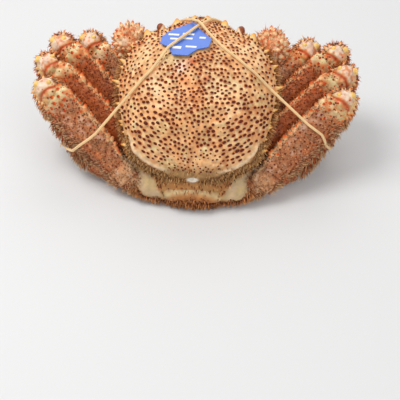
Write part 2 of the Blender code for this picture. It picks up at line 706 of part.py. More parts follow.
def lifted(point, trees):
    """The point, moved out of every form to the band's clearance."""
    for _ in range(3):
        for tree in trees:
            place, normal, _, distance = tree.find_nearest(point)
            away = point - place
            if away.dot(normal) < 0:
                point = place + normal * BAND_CLEARANCE
            elif distance < BAND_CLEARANCE:
                point = place + (away.normalized() if distance > 1e-4 else normal) * BAND_CLEARANCE
    return point


def band_path():
    """The band's closed route: taut between its holds and clear of all it passes."""
    limbs = [limb for side in SIDES for number in HIPS for limb in leg_limbs(number, side)]
    limbs += [limb for side in SIDES for limb in claw_limbs(side)]
    forms = [shell_form("form"), tag_form()] + [limb.mesh_object("form", 9, 12) for limb in limbs]
    trees = [search_tree(form) for form in forms]
    route, pull = [], []
    for here, there in zip(BAND_HOLDS, BAND_HOLDS[1:] + BAND_HOLDS[:1]):
        route += [Vector(here).lerp(Vector(there), k / BAND_STEPS) for k in range(BAND_STEPS)]
        pull += [BAND_HOLD_PULL] + [BAND_PULL] * (BAND_STEPS - 1)
    for _ in range(BAND_TURNS):
        for i in range(len(route)):
            middle = (route[i - 1] + route[(i + 1) % len(route)]) / 2
            route[i] = route[i].lerp(middle, pull[i])
        route = [lifted(point, trees) for point in route]
    return simplified(spread_crossing(route), BAND_SLACK)


def spread_crossing(route):
    """Lifts the strand that comes from the right where it crosses the other one."""
    count = len(route)
    crossing = Vector(BAND_CROSSING)
    rise = 2 * BAND_RADIUS + BAND_CROSSING_GAP
    for i in range(count - count // 4, count + count // 6):
        distance = (route[i % count].xy - crossing).length
        lift = rise * math.exp(-((distance / BAND_CROSSING_REACH) ** 2))
        route[i % count] = route[i % count] + Vector((0, 0, lift))
    return route


def simplified(route, slack):
    """Drops the points of a closed route that stray less than slack from a straight line."""
    longest = 12
    kept = [0]
    total = len(route)
    while kept[-1] < total:
        start = kept[-1]
        end = start + 1
        while end - start < longest and end < total:
            line_start, line_end = route[start], route[(end + 1) % total]
            along = (line_end - line_start).normalized()
            offsets = [route[i % total] - line_start for i in range(start + 1, end + 1)]
            if max((offset - along * offset.dot(along)).length for offset in offsets) > slack:
                break
            end += 1
        kept.append(end)
    return [route[i] for i in kept[:-1]]


def clear_of_band(point):
    """Whether a spine may stand here: the band has a smooth lane."""
    for start, end in zip(BAND_PATH, BAND_PATH[1:] + BAND_PATH[:1]):
        line = end - start
        part = min(1, max(0, (point - start).dot(line) / line.length_squared))
        if (start + line * part - point).length < BAND_LANE:
            return False
    return True


def make_rubber_band():
    """A round closed tube along the band's route."""
    curve = bpy.data.curves.new("band", "CURVE")
    curve.dimensions = "3D"
    curve.bevel_depth = BAND_RADIUS * MM
    curve.bevel_resolution = 1
    spline = curve.splines.new("POLY")
    spline.points.add(len(BAND_PATH) - 1)
    for point, place in zip(spline.points, BAND_PATH):
        point.co = (*(place * MM), 1)
    spline.use_cyclic_u = True
    finish_node(as_mesh(link(bpy.data.objects.new("band", curve))), "rubber_band", "band")


def stand_on_origin():
    """Hangs every node on an empty, so that the crab's footprint is centred on the origin."""
    bounds = [mesh_bounds(obj) for obj in CRAB.objects]
    low = np.min([b[0] for b in bounds], axis=0)
    high = np.max([b[1] for b in bounds], axis=0)
    base = link(bpy.data.objects.new("crab_base", None))
    base.location = (-(low[0] + high[0]) / 2, -(low[1] + high[1]) / 2, 0)
    for obj in CRAB.objects:
        obj.parent = base


def make_materials():
    made = {}
    for name, (colour, roughness) in MATERIAL_LOOKS.items():
        material = bpy.data.materials.new(name)
        material.use_nodes = True
        shader = material.node_tree.nodes["Principled BSDF"]
        shader.inputs["Base Color"].default_value = (*colour, 1)
        shader.inputs["Roughness"].default_value = roughness
        shader.inputs["Metallic"].default_value = 0
        made[name] = material
    return made


for old in list(bpy.data.objects):
    bpy.data.objects.remove(old)
CRAB = bpy.data.collections.new("horsehair_crab")
bpy.context.scene.collection.children.link(CRAB)
MATERIALS = make_materials()
BAND_PATH = band_path()
make_carapace()
make_abdomen()
make_thorax()
for leg_number in sorted(HIPS, reverse=True):
    for side_name in SIDES:
        make_leg(leg_number, side_name)
for side_name in SIDES:
    make_claw(side_name)
    make_face(side_name)
finish_node(tag_form(), "tag", "tag")
make_rubber_band()
stand_on_origin()
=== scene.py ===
"""Looks of a boiled horsehair crab, resting belly down with its legs folded and banded.

Sizes are in millimetres and colours are sRGB out of 255. World axes are the solids' before the
footprint is centred. Body axes are (side, ahead, above) from the middle of the shell's rim.
"""

import math

import bmesh
import bpy
import numpy as np
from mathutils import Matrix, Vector
from mathutils.kdtree import KDTree


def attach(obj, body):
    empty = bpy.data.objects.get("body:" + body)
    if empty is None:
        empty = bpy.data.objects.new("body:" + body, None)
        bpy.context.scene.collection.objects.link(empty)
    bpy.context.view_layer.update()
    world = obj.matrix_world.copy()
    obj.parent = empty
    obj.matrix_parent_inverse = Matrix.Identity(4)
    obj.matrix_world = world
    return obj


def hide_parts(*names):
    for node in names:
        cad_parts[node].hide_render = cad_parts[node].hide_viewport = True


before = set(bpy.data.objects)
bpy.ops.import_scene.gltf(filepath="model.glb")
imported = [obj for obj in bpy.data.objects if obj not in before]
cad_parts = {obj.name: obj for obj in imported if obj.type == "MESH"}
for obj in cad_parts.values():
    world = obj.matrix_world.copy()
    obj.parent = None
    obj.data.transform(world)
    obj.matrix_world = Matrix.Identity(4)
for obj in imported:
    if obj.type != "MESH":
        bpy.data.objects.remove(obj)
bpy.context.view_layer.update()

MM = 0.001
FOOTPRINT_CENTRE = np.array([-2.712, 17.217, 0.0])
BODY_TILT = math.radians(34)
BODY_HEIGHT = 66.0
SIDES = {"left": -1, "right": 1}
FLOOR_CLEARANCE = 0.05

# The forms below repeat the solids' own.
SHELL_CENTRE = 5.0
CROWN_HEIGHT = 24.0
SHELL_BELLY = -19.0
SHELL_OUTLINE = [
    (0, 74.5), (8, 73.5), (14, 70), (20, 68), (28, 62.5), (38, 60), (46.5, 53.5), (54.5, 43.5),
    (60, 31), (62.3, 17), (61.3, 3), (58.7, -10), (56, -22), (52.7, -34), (48.5, -43), (39, -50),
    (27, -55.5), (14, -59.5), (0, -60.5),
]
SHELL_UNDER_RINGS = ((1.0, -1.0), (0.985, -2.4), (0.94, -5.0), (0.90, -8.0))
SHELL_BELLY_RING = 0.74
SHELL_RELIEF = [
    (0, 30, 13, 2.2), (17, 36, 11, 1.6), (0, -16, 11, 2.4), (0, -40, 10, 1.2),
    (34, -14, 18, 2.6), (38, 20, 12, 1.8), (16, 8, 7, -2.2), (27, 14, 7, -1.6),
    (13, -14, 6, -1.8), (14, -30, 7, -1.4), (0, 8, 6, -1.0),
]
BROW_TEETH = [(5, 74, 3.0), (18.5, 68.5, 5.0), (41, 58, 5.0)]
MARGIN_TEETH = [
    (52.3, 46.5, 4.0), (59, 34, 4.5), (62, 16.5, 6.5), (60.6, -1, 3.5),
    (57.6, -15, 3.0), (52.8, -33.5, 4.5),
]
THORAX_RINGS = [
    (-73, 30, -19, -28), (-68, 43, -15, -31), (-56, 47, -10, -34.5), (-28, 45, -10, -37),
    (0, 44, -10, -38), (25, 40, -10, -37), (45, 32, -12, -33), (57, 24, -13, -26), (65, 13, -14, -19),
]

HIPS = {2: (36, -6, -33), 3: (40, -21, -29), 4: (42, -40, -24), 5: (51.5, -59.5, -22)}
KNEES = {2: (84, 51.5, -20), 3: (106, 47, -14), 4: (116, 29, -8), 5: (116, 7.5, -2)}
LOWER_JOINTS = {
    2: ((86, 69, 57), (60, 64, 9), (17, 49, 0.5)),
    3: ((111, 61, 59), (89, 51, 8.5), (45, 37, 0.6)),
    4: ((121, 36, 52), (104, 24, 8), (59, 9, 0.8)),
    5: ((113, 3.5, 44), (86, -19, 14), (46, -34, 0.1)),
}
KNEE_SHIFT = {
    "left": {2: 3, 3: 3, 4: 1.5, 5: 1},
    "right": {2: 0, 3: 0, 4: -3.5, 5: -3.5},
}
MERUS_WIDTH = {2: 21, 3: 23, 4: 24, 5: 26}
MERUS_NECK = {2: 13, 3: 13.5, 4: 14.5, 5: 21}
MERUS_ROLL = math.radians(26)
MERUS_THICKNESS = 10.5
KNEE_OUT = 3.0
KNEE_BACK = 7.5
CARPUS_SECTIONS = [(0, 8.5, 7.5), (0.22, 10.8, 9.2), (0.45, 10.4, 8.8), (0.75, 8.6, 6.8), (1, 6.8, 5.2)]
PROPODUS_SECTIONS = [(0, 6.0, 4.6), (0.25, 7.2, 5.2), (0.6, 6.8, 5.0), (1, 4.8, 4.0)]
DACTYL_SECTIONS = [(0, 4.4, 3.8), (0.3, 4.0, 3.6), (0.7, 2.9, 2.7), (1, 1.0, 1.0)]

CLAW_HIP = (31, 37, 48)
CLAW_ELBOW = (54, 45, 76)
CLAW_CARPUS_FOOT = (58.5, 42, 80.5)
CLAW_WRIST = (55.5, 67.5, 85)
CLAW_PALM_FOOT = (48, 66, 71)
CLAW_KNUCKLE = (22, 79, 51)
CLAW_TIP = (3, 76, 36)
CLAW_FACING = (0.5, 0.85, 0.15)
CLAW_ARM_SECTIONS = [(0, 8, 6), (0.3, 9.5, 7), (0.7, 11, 8), (1, 9, 7)]
CLAW_CARPUS_SECTIONS = [(0, 10, 9.5), (0.3, 13.2, 12.2), (0.7, 13.2, 12), (1, 9.5, 8.5)]
CLAW_PALM_SECTIONS = [(0, 7, 6.5), (0.2, 10, 8), (0.55, 12.5, 9), (0.85, 12, 8.3), (1, 10, 7)]
FIXED_FINGER_SECTIONS = [(0, 5.5, 5), (0.4, 4.4, 4), (0.8, 2.8, 2.8), (1, 1.2, 1.2)]
MOVING_FINGER_SECTIONS = [(0, 5.2, 4.6), (0.4, 4.2, 3.9), (0.8, 2.6, 2.6), (1, 1.1, 1.1)]
FIXED_FINGER_OFFSET = -5.5
FIXED_FINGER_ROOT = -5
MOVING_FINGER_OFFSET = 5.0
MOVING_FINGER_ROOT = 1.5

UPPER_SEGMENT = ((-24, -67.5, -19), (24, -67.5, -19))
UPPER_SEGMENT_SECTIONS = [(0, 5, 4.5), (0.25, 7, 5.6), (0.5, 7.6, 6), (0.75, 7, 5.6), (1, 5, 4.5)]
LOWER_SEGMENT = ((-23, -66.5, -28.5), (23, -66.5, -28.5))
LOWER_SEGMENT_SECTIONS = [(0, 6, 6), (0.25, 8.6, 7.6), (0.5, 9.4, 8), (0.75, 8.6, 7.6), (1, 6, 6)]
TAIL_FLAP = ((0, -62, -35), (0, 8, -38.5))
TAIL_FLAP_SECTIONS = [(0, 19, 4), (0.2, 18, 4), (0.5, 12, 3.8), (0.8, 8, 3.4), (1, 4, 2.6)]
MAXILLIPED = ((7.5, 34, -36), (7.5, 62, -24))
MAXILLIPED_SECTIONS = [(0, 5, 3), (0.3, 6.4, 3.4), (0.7, 6.4, 3.4), (1, 5, 2.6)]
EYE_STALK = ((29, 57, -10), (33.5, 69, -8.5))
EYE_SECTIONS = [(0, 3.0, 3.0), (0.5, 3.2, 3.2), (0.8, 3.4, 3.3), (1, 2.9, 2.8)]
ANTENNA = ((12, 56, -19.5), (17, 74, -22))
ANTENNA_SECTIONS = [(0, 2.4, 2.2), (0.4, 2.0, 1.8), (0.6, 1.2, 1.2), (1, 0.7, 0.7)]

TAG_PLANE = (104.9, 0.075, 0.03)
TAG_THICKNESS = 0.9
TAG_NECK_START = 44
TAG_NECK_SLOPE = 0.2
TAG_LEVEL = 90
TAG_OUTLINE = [
    (-12.6, 49.7), (-9.6, 52.2), (-5.9, 55.3), (-1.2, 51.5), (-1.0, 45.5), (0.4, 42.7), (10.5, 29.6),
    (9.3, 23.5), (8.0, 19.9), (0.1, 17.8), (-6.6, 10.8), (-18.9, 12.4), (-21.5, 19.8), (-22.9, 22.3),
    (-29.4, 26.3), (-28.3, 35.0), (-24.4, 39.9),
]
# Plain bars in place of the tag's lettering: (side, ahead, length, width).
TAG_BARS = [
    (-19.5, 36.5, 8.5, 2.1), (-8.0, 36.5, 9.0, 2.1), (3.2, 31.5, 5.0, 2.1), (-18.5, 31.2, 7.0, 2.1),
    (-8.5, 31.2, 8.0, 2.1), (-16, 20.5, 7.0, 3.0), (-5.0, 20.8, 8.5, 2.0),
]
TAG_BAR_TURN = math.radians(-8)

# How far studs and bristles keep from the band.
STUD_LANE = 2.4
HAIR_LANE = 1.8

CREAM = (242, 214, 166)
PALE_GREEN = (214, 204, 146)
SHELL_GROUND = (251, 198, 140)
SHELL_PINK = (236, 170, 112)
SHELL_HALO = (204, 98, 42)
SHELL_DOT = (90, 22, 4)
# painted highlight on the shell's raised hind edge
PALE_RIM = (232, 202, 166)
REAR_TAN = (178, 134, 82)
OLIVE = (136, 92, 46)
TAN = (196, 132, 88)
LEG_BROWN = (174, 86, 38)
ORANGE = (226, 110, 46)
RED_ORANGE = (190, 74, 30)
DEEP_RED = (134, 40, 20)
DEEP_BROWN = (96, 48, 26)
YELLOW = (242, 192, 104)
WHITE_PINK = (238, 212, 198)
HAIR_DARK = (150, 78, 40)
HAIR_PALE = (244, 192, 136)
BELLY = (232, 200, 156)
FINGER_DARK = (44, 24, 16)
EYE_DARK = (140, 70, 34)


def linear(colour):
    """An sRGB colour out of 255 as linear light."""
    c = np.asarray(colour, float) / 255
    return np.where(c <= 0.04045, c / 12.92, ((c + 0.055) / 1.055) ** 2.4)


def mix(a, b, share):
    share = np.clip(np.asarray(share, float), 0, 1)[..., None]
    return np.asarray(a, float) * (1 - share) + np.asarray(b, float) * share


def ramp(value, start, end):
    """0 up to start, 1 from end on, and straight between."""
    return np.clip((value - start) / (end - start), 0, 1)


def bell(value, centre, width):
    return np.exp(-(((value - centre) / width) ** 2))


def unit(v):
    v = np.asarray(v, float)
    return v / np.maximum(np.linalg.norm(v, axis=-1, keepdims=True), 1e-12)


def body_turn(vectors):
    """Directions from the body's axes to the world's."""
    v = np.asarray(vectors, float)
    c, s = math.cos(BODY_TILT), math.sin(BODY_TILT)
    return np.stack([v[..., 0], v[..., 1] * c - v[..., 2] * s, v[..., 1] * s + v[..., 2] * c], -1)


def body_place(points):
    return body_turn(points) + np.array([0, 0, BODY_HEIGHT])


def to_body(points):
    """World places in the body's axes."""
    p = np.asarray(points, float) - np.array([0, 0, BODY_HEIGHT])
    c, s = math.cos(BODY_TILT), math.sin(BODY_TILT)
    return np.stack([p[..., 0], p[..., 1] * c + p[..., 2] * s, p[..., 2] * c - p[..., 1] * s], -1)


def settled(points):
    """World millimetres to the frame's metres."""
    return (np.asarray(points, float) - FOOTPRINT_CENTRE) * MM


def smooth_columns(rows, t):
    """The columns of a table after its first, read at every t on a smooth curve through its rows."""
    table = np.array(rows, float)
    places = table[:, 0]
    t = np.asarray(t, float)
    i = np.clip(np.searchsorted(places, t, side="right") - 1, 0, len(places) - 2)
    slopes = np.gradient(table[:, 1:], places, axis=0)
    step = (places[i + 1] - places[i])[..., None]
    x = np.clip((t[..., None] - places[i][..., None]) / step, 0, 1)
    return (
        (2 * x**3 - 3 * x**2 + 1) * table[i, 1:]
        + (x**3 - 2 * x**2 + x) * step * slopes[i]
        + (3 * x**2 - 2 * x**3) * table[i + 1, 1:]
        + (x**3 - x**2) * step * slopes[i + 1]
    )


# What scatters the noise's cells: a shift for each seed, and the hash of a cell's whole numbers.
SEED_SHIFT = 17.31
CELL_PRIMES = (73856093, 19349663, 83492791)
CODE_SPAN = 100003
CODE_TURN = 12.9898
CODE_GAIN = 43758.5453


def lumps(points, size, seed=0):
    """Smooth value noise from 0 to 1 over points in mm."""
    grid = np.asarray(points, float) / size + seed * SEED_SHIFT
    cell = np.floor(grid).astype(np.int64)
    part = grid - cell
    part = part * part * (3 - 2 * part)
    total = np.zeros(len(grid))
    for corner in range(8):
        step = np.array([corner & 1, corner >> 1 & 1, corner >> 2 & 1])
        code = np.bitwise_xor.reduce((cell + step) * CELL_PRIMES, axis=1)
        value = (np.sin(code % CODE_SPAN * CODE_TURN) * CODE_GAIN) % 1.0
        weight = np.prod(np.where(step == 1, part, 1 - part), axis=1)
        total += value * weight
    return total


def mottled(places, mottle):
    """Colours at places, for a mottle: its ground colour and the patches of noise over that.

    A patch is (colour, size of the noise in mm, seed, start, end, share).
    """
    colour, patches = mottle
    for other, size, seed, start, end, share in patches:
        colour = mix(colour, other, ramp(lumps(places, size, seed), start, end) * share)
    return colour


class Limb:
    """A tube of changing oval section, as the solids have it, laid out in world mm."""

    def __init__(self, start, end, flat, sections, rounding=(0.06, 0.06), sign=1):
        self.start = np.array(start, float)
        self.end = np.array(end, float)
        self.length = float(np.linalg.norm(self.end - self.start))
        self.along = (self.end - self.start) / self.length
        flat = np.array(flat, float)
        self.thin = unit(flat - self.along * flat.dot(self.along))
        self.wide = np.cross(self.thin, self.along)
        self.sections = sections
        self.rounding = rounding
        self.mirror = np.array([sign, 1, 1])
        self.forward = self.along * self.mirror

    def end_scale(self, t):
        """How much a section shrinks where the limb rounds off."""
        scale = np.ones_like(t)
        for edge, reach in zip((t, 1 - t), self.rounding):
            part = np.clip(edge / reach, 0, 1)
            scale = scale * (np.sqrt(np.maximum(0, 1 - (1 - part) ** 2)) * 0.9 + 0.1)
        return scale

    def points(self, t, angle):
        """Places at each t along and angle around; angle 0 is the limb's inner edge."""
        t, angle = np.broadcast_arrays(np.asarray(t, float), np.asarray(angle, float))
        half_wide, half_thin, *middle = np.moveaxis(smooth_columns(self.sections, t), -1, 0)
        across = half_wide * self.end_scale(t) * np.cos(angle)
        through = half_thin * self.end_scale(t) * np.sin(angle) + (middle[0] if middle else 0)
        place = (
            self.start
            + self.along * (self.length * t)[..., None]
            + self.wide * across[..., None]
            + self.thin * through[..., None]
        )
        return place * self.mirror

    def normals(self, t, angle):
        t, angle = np.broadcast_arrays(np.asarray(t, float), np.asarray(angle, float))
        step = 0.01
        along = self.points(np.minimum(t + step, 1), angle) - self.points(np.maximum(t - step, 0), angle)
        around = self.points(t, angle + step) - self.points(t, angle - step)
        return unit(np.cross(around, along)) * self.mirror[0]

    def from_end(self, places):
        """How far past the limb's end places lie: along it, towards its outer edge, and above."""
        away = np.asarray(places, float) * self.mirror - self.end
        return away @ self.along, -away @ self.wide, away @ self.thin

    def facing(self, way):
        """The (t, angle) of the point that stands out furthest in a direction of the right side."""
        t, angle = np.meshgrid(np.linspace(0.02, 0.98, 49), np.linspace(0, 2 * np.pi, 72, endpoint=False))
        reach = (self.points(t, angle) * self.mirror) @ np.asarray(way, float)
        best = np.unravel_index(np.argmax(reach), reach.shape)
        return t[best], angle[best]

    def area(self):
        half_wide, half_thin = np.mean([row[1:3] for row in self.sections], axis=0)
        return math.pi * (half_wide + half_thin) * self.length


def body_limb(ends, flat, sections, rounding, sign=1):
    """A limb whose ends and flat direction are given in body axes."""
    return Limb(body_place(ends[0]), body_place(ends[1]), body_turn(flat), sections, rounding, sign)


def new_object(name, data):
    obj = bpy.data.objects.new(name, data)
    bpy.context.scene.collection.objects.link(obj)
    return obj


class Build:
    """Gathers triangles with a colour at each point, and makes one object of them."""

    def __init__(self, name):
        self.name = name
        self.points, self.faces, self.tints, self.spots, self.slots = [], [], [], [], []
        self.count = 0

    def add(self, points, faces, tints, slot=0, spots=None):
        """points in world mm, tints in sRGB out of 255, spots the points' places on a map."""
        points = np.asarray(points, float).reshape(-1, 3)
        faces = np.asarray(faces, np.int64).reshape(-1, 3)
        self.points.append(points)
        self.faces.append(faces + self.count)
        self.tints.append(np.broadcast_to(np.asarray(tints, float), points.shape))
        self.slots.append(np.full(len(faces), slot))
        self.spots.append(np.zeros((len(points), 2)) if spots is None else spots)
        self.count += len(points)

    def object(self, materials, with_map=False, smooth=True):
        points = np.concatenate(self.points)
        points[:, 2] = np.maximum(points[:, 2], FLOOR_CLEARANCE)
        faces = np.concatenate(self.faces)
        mesh = bpy.data.meshes.new(self.name)
        mesh.vertices.add(len(points))
        mesh.vertices.foreach_set("co", settled(points).ravel())
        mesh.loops.add(3 * len(faces))
        mesh.loops.foreach_set("vertex_index", faces.ravel())
        mesh.polygons.add(len(faces))
        mesh.polygons.foreach_set("loop_start", np.arange(len(faces)) * 3)
        mesh.polygons.foreach_set("use_smooth", np.full(len(faces), smooth))
        mesh.polygons.foreach_set("material_index", np.concatenate(self.slots))
        tint = mesh.color_attributes.new("Tint", "FLOAT_COLOR", "POINT")
        colours = np.ones((len(points), 4))
        colours[:, :3] = linear(np.clip(np.concatenate(self.tints), 0, 255))
        tint.data.foreach_set("color", colours.ravel())
        if with_map:
            layer = mesh.uv_layers.new(name="OFBake")
            layer.data.foreach_set("uv", np.concatenate(self.spots)[faces.ravel()].ravel())
        mesh.update(calc_edges=True)
        for material in materials:
            mesh.materials.append(material)
        return new_object(self.name, mesh)


def settle(obj, slot, *nodes):
    """Rides a piece on the body and lets it stand for nodes of the solids, which it hides; slot is not used.
    """
    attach(obj, "root")
    if nodes:
        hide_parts(*nodes)


def grid_faces(rings, sides):
    """Triangles between closed rings of points, with a point at each end of the run."""
    ring, side = np.meshgrid(np.arange(rings - 1), np.arange(sides), indexing="ij")
    low = (ring * sides + side).ravel()
    beside = (ring * sides + (side + 1) % sides).ravel()
    faces = [np.stack([low, low + sides, beside + sides], 1), np.stack([low, beside + sides, beside], 1)]
    around = np.arange(sides)
    first, last = rings * sides, rings * sides + 1
    tail = (rings - 1) * sides
    faces.append(np.stack([np.full(sides, first), around, (around + 1) % sides], 1))
    faces.append(np.stack([np.full(sides, last), tail + (around + 1) % sides, tail + around], 1))
    return np.concatenate(faces)


def outward(points, faces):
    """The faces, turned over if they enclose a negative volume."""
    a, b, c = (points[faces[:, k]] - points.mean(axis=0) for k in range(3))
    volume = np.einsum("ij,ij->i", a, np.cross(b, c)).sum()
    return faces if volume > 0 else faces[:, ::-1]


COARSE_LUMP = 4.0
FINE_LUMP = 1.6


def add_limb(build, limb, tint, rings=48, sides=40, rough=0.25, slot=0, shape=None):
    """A fine skin over a limb: tint(t, angle, places) colours it, shape(...) swells it in mm."""
    t = 0.5 - 0.5 * np.cos(np.pi * np.arange(rings) / (rings - 1))
    t, angle = np.meshgrid(t, 2 * np.pi * np.arange(sides) / sides, indexing="ij")
    t, angle = t.ravel(), angle.ravel()
    places = limb.points(t, angle)
    swell = (lumps(places, COARSE_LUMP) - 0.5) * 2 * rough + (lumps(places, FINE_LUMP, 3) - 0.5) * rough
    if shape is not None:
        swell = swell + shape(t, angle, places)
    normals = limb.normals(np.clip(t, 0.02, 0.98), angle)
    places = places + normals * (swell * limb.end_scale(t))[:, None]
    ends = [places[:sides].mean(axis=0), places[-sides:].mean(axis=0)]
    points = np.concatenate([places, ends])
    t, angle = np.append(t, [0, 1]), np.append(angle, [0, 0])
    build.add(points, outward(points, grid_faces(rings, sides)), tint(t, angle, points), slot)


def frame_beside(ways):
    """Two directions at right angles to each way."""
    ways = np.asarray(ways, float)
    helper = np.where(np.abs(ways[:, 2:3]) < 0.9, np.array([[0.0, 0, 1]]), np.array([[1.0, 0, 0]]))
    first = unit(np.cross(ways, helper))
    return first, np.cross(ways, first)


def add_studs(build, roots, ways, heights, radii, profile, tints, sides=8, slot=0, stretch=None):
    """Round studs: profile is rows of (radius share, height share), with a tint for each row.

    A tint is one colour, or one for each stud. stretch draws each stud out along a vector.
    """
    roots, ways = np.asarray(roots, float), unit(ways)
    count = len(roots)
    if not count:
        return
    heights, radii = np.broadcast_to(heights, count), np.broadcast_to(radii, count)
    first, second = frame_beside(ways)
    angle = 2 * np.pi * np.arange(sides) / sides
    circle = first[:, None] * np.cos(angle)[:, None] + second[:, None] * np.sin(angle)[:, None]
    if stretch is not None:
        circle = circle + stretch[:, None] * np.einsum("nkc,nc->nk", circle, unit(stretch))[..., None]
    rows, colours = [], []
    for (wide, high), tint in zip(profile, tints):
        ring = circle if wide else np.zeros((count, 1, 3))
        level = roots + ways * (heights * high)[:, None]
        rows.append(level[:, None] + ring * (radii * wide)[:, None, None])
        tint = np.asarray(tint, float).reshape(-1, 1, 3)
        colours.append(np.broadcast_to(tint, (count, ring.shape[1], 3)))
    points = np.concatenate(rows, axis=1)
    per = points.shape[1]
    faces = []
    for row in range(len(profile) - 2):
        for k in range(sides):
            a, b = row * sides + k, row * sides + (k + 1) % sides
            faces += [(a, b, b + sides), (a, b + sides, a + sides)]
    top = (len(profile) - 2) * sides
    faces += [(top + k, top + (k + 1) % sides, per - 1) for k in range(sides)]
    faces = (np.array(faces)[None] + (np.arange(count) * per)[:, None, None]).reshape(-1, 3)
    build.add(points.reshape(-1, 3), faces, np.concatenate(colours, axis=1).reshape(-1, 3), slot)


# A bristle is two rings of three points and a tip: their width, and how far up they lie.
HAIR_WIDTHS = (1.0, 0.8)
HAIR_MIDDLE = 0.5
HAIR_MIDDLE_DROOP = 0.3
HAIR_SHADES = (0.75, 1.2)
HAIR_POINTS = 7
HAIR_FACES = np.array([
    (0, 1, 4), (0, 4, 3), (1, 2, 5), (1, 5, 4), (2, 0, 3), (2, 3, 5), (3, 4, 6), (4, 5, 6), (5, 3, 6),
])
HAIR_SHARES = np.array([0] * 3 + [HAIR_MIDDLE] * 3 + [1.0])
# Each bristle's patch on the coat's map.
HAIR_PATCH = 0.003 * np.array([(0, 0), (1, 0), (0, 0.3), (0, 0.5), (1, 0.5), (0.5, 0.6), (0.5, 1)])


def add_hairs(build, roots, ways, lengths, widths, tints, spots, droop, draw):
    """Tapered three-sided bristles that bend towards droop; tints are the root's and the tip's."""
    roots, ways = np.asarray(roots, float), unit(ways)
    count = len(roots)
    if not count:
        return
    droop = np.asarray(droop, float)
    first, second = frame_beside(ways)
    spin = draw.uniform(0, 2 * np.pi, count)
    tips = roots + unit(ways + droop) * lengths[:, None]
    middles = roots + unit(ways + droop * HAIR_MIDDLE_DROOP) * (lengths * HAIR_MIDDLE)[:, None]
    rings = []
    for centre, share in zip((roots, middles), HAIR_WIDTHS):
        for k in range(3):
            turn = spin + 2 * np.pi * k / 3
            side = first * np.cos(turn)[:, None] + second * np.sin(turn)[:, None]
            rings.append(centre + side * (widths * share / 2)[:, None])
    points = np.stack(rings + [tips], axis=1)
    faces = (HAIR_FACES[None] + (np.arange(count) * HAIR_POINTS)[:, None, None]).reshape(-1, 3)
    root_tint, tip_tint = (np.broadcast_to(np.asarray(tint, float), (count, 3))[:, None] for tint in tints)
    share = HAIR_SHARES[None, :, None]
    shade = draw.uniform(*HAIR_SHADES, count)[:, None, None]
    colours = (root_tint * (1 - share) + tip_tint * share) * shade
    spots = (np.asarray(spots)[:, None] + HAIR_PATCH[None]).reshape(-1, 2)
    build.add(points.reshape(-1, 3), faces, colours.reshape(-1, 3), spots=spots)


def on_map(cell, across, along):
    """Places on a coat's map, given as shares of a cell's two sides; a cell is (corner, size)."""
    corner, size = cell
    return np.stack([corner[0] + size[0] * across, corner[1] + size[1] * along], -1)


def tree_of(places):
    tree = KDTree(len(places))
    for i, place in enumerate(places):
        tree.insert(place, i)
    tree.balance()
    return tree


def thinned(places, spacing):
    """The places, in order, that keep their spacing from those before them."""
    spacing = np.broadcast_to(spacing, len(places))
    tree = tree_of(places)
    free = np.ones(len(places), bool)
    kept = []
    for i, place in enumerate(places):
        if free[i]:
            kept.append(i)
            for _, j, _ in tree.find_range(place, spacing[i]):
                free[j] = False
    return np.array(kept, int)


# The rubber band and the tag keep a clear lane, so that nothing stands through them.

SAMPLE_SPACING = 0.8


def sample_node(name):
    """Points in world mm along every edge of a solid."""
    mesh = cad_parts[name].data
    points = np.array([v.co for v in mesh.vertices]) / MM + FOOTPRINT_CENTRE
    spread = []
    for edge in mesh.edges:
        a, b = points[edge.vertices[0]], points[edge.vertices[1]]
        steps = max(1, int(np.linalg.norm(b - a) / SAMPLE_SPACING))
        spread += [a + (b - a) * k / steps for k in range(steps)]
    return spread


LANE = tree_of(sample_node("rubber_band"))


def off_lane(points, reach):
    """Which points lie further than reach from the band's surface."""
    return np.array([LANE.find(p)[2] > reach for p in points], bool)


def off_tag(points):
    """Which points aren't under the tag."""
    inside = np.zeros(len(points), bool)
    x, y = points[:, 0], points[:, 1]
    for (x0, y0), (x1, y1) in zip(TAG_OUTLINE, TAG_OUTLINE[1:] + TAG_OUTLINE[:1]):
        crosses = (y0 > y) != (y1 > y)
        inside ^= crosses & (x < x0 + (y - y0) / (y1 - y0 + 1e-9) * (x1 - x0))
    return ~(inside & (points[:, 2] > TAG_LEVEL))


# Materials: the tint of each piece, broken up by mottle, specks and bump. Scales are per metre.

MOTTLE_SCALE = 260
MOTTLE_DETAIL = 5
MOTTLE_RANGE = (0.3, 0.7)
GLOSS_SPREAD = 0.2
COAT_ROUGHNESS = 0.2
SPECK_SIZE = 2.6
SPECK_EDGE = (0.14, 0.26)
GRAIN_SCALE = 900
GRAIN_DETAIL = 3
GRAIN_DEPTH = 0.4
PLAIN_SCALE = 120
PLAIN_SHADES = (0.92, 1.05)
PLAIN_DEPTH = 0.2


def with_inputs(node, values):
    """The node, with some of its sockets set."""
    for name, value in values.items():
        node.inputs[name].default_value = value
    return node


def new_material(name):
    material = bpy.data.materials.new(name)
    material.use_nodes = True
    return material, material.node_tree.nodes, material.node_tree.links


def noise(nodes, links, scale, detail=2):
    """Cloudy noise in the piece's own axes."""
    place = nodes.new("ShaderNodeTexCoord")
    cloud = with_inputs(nodes.new("ShaderNodeTexNoise"), {"Scale": scale, "Detail": detail})
    links.new(place.outputs["Object"], cloud.inputs["Vector"])
    return cloud.outputs["Fac"]


def ranged(nodes, links, value, start, end, low, high):
    """The value, with start to end stretched to low to high."""
    limits = {"From Min": start, "From Max": end, "To Min": low, "To Max": high}
    node = with_inputs(nodes.new("ShaderNodeMapRange"), limits)
    links.new(value, node.inputs["Value"])
    return node.outputs["Result"]


def add_bump(nodes, links, height, strength, depth):
    relief = with_inputs(nodes.new("ShaderNodeBump"), {"Strength": strength, "Distance": depth * MM})
    links.new(height, relief.inputs["Height"])
    links.new(relief.outputs["Normal"], nodes["Principled BSDF"].inputs["Normal"])


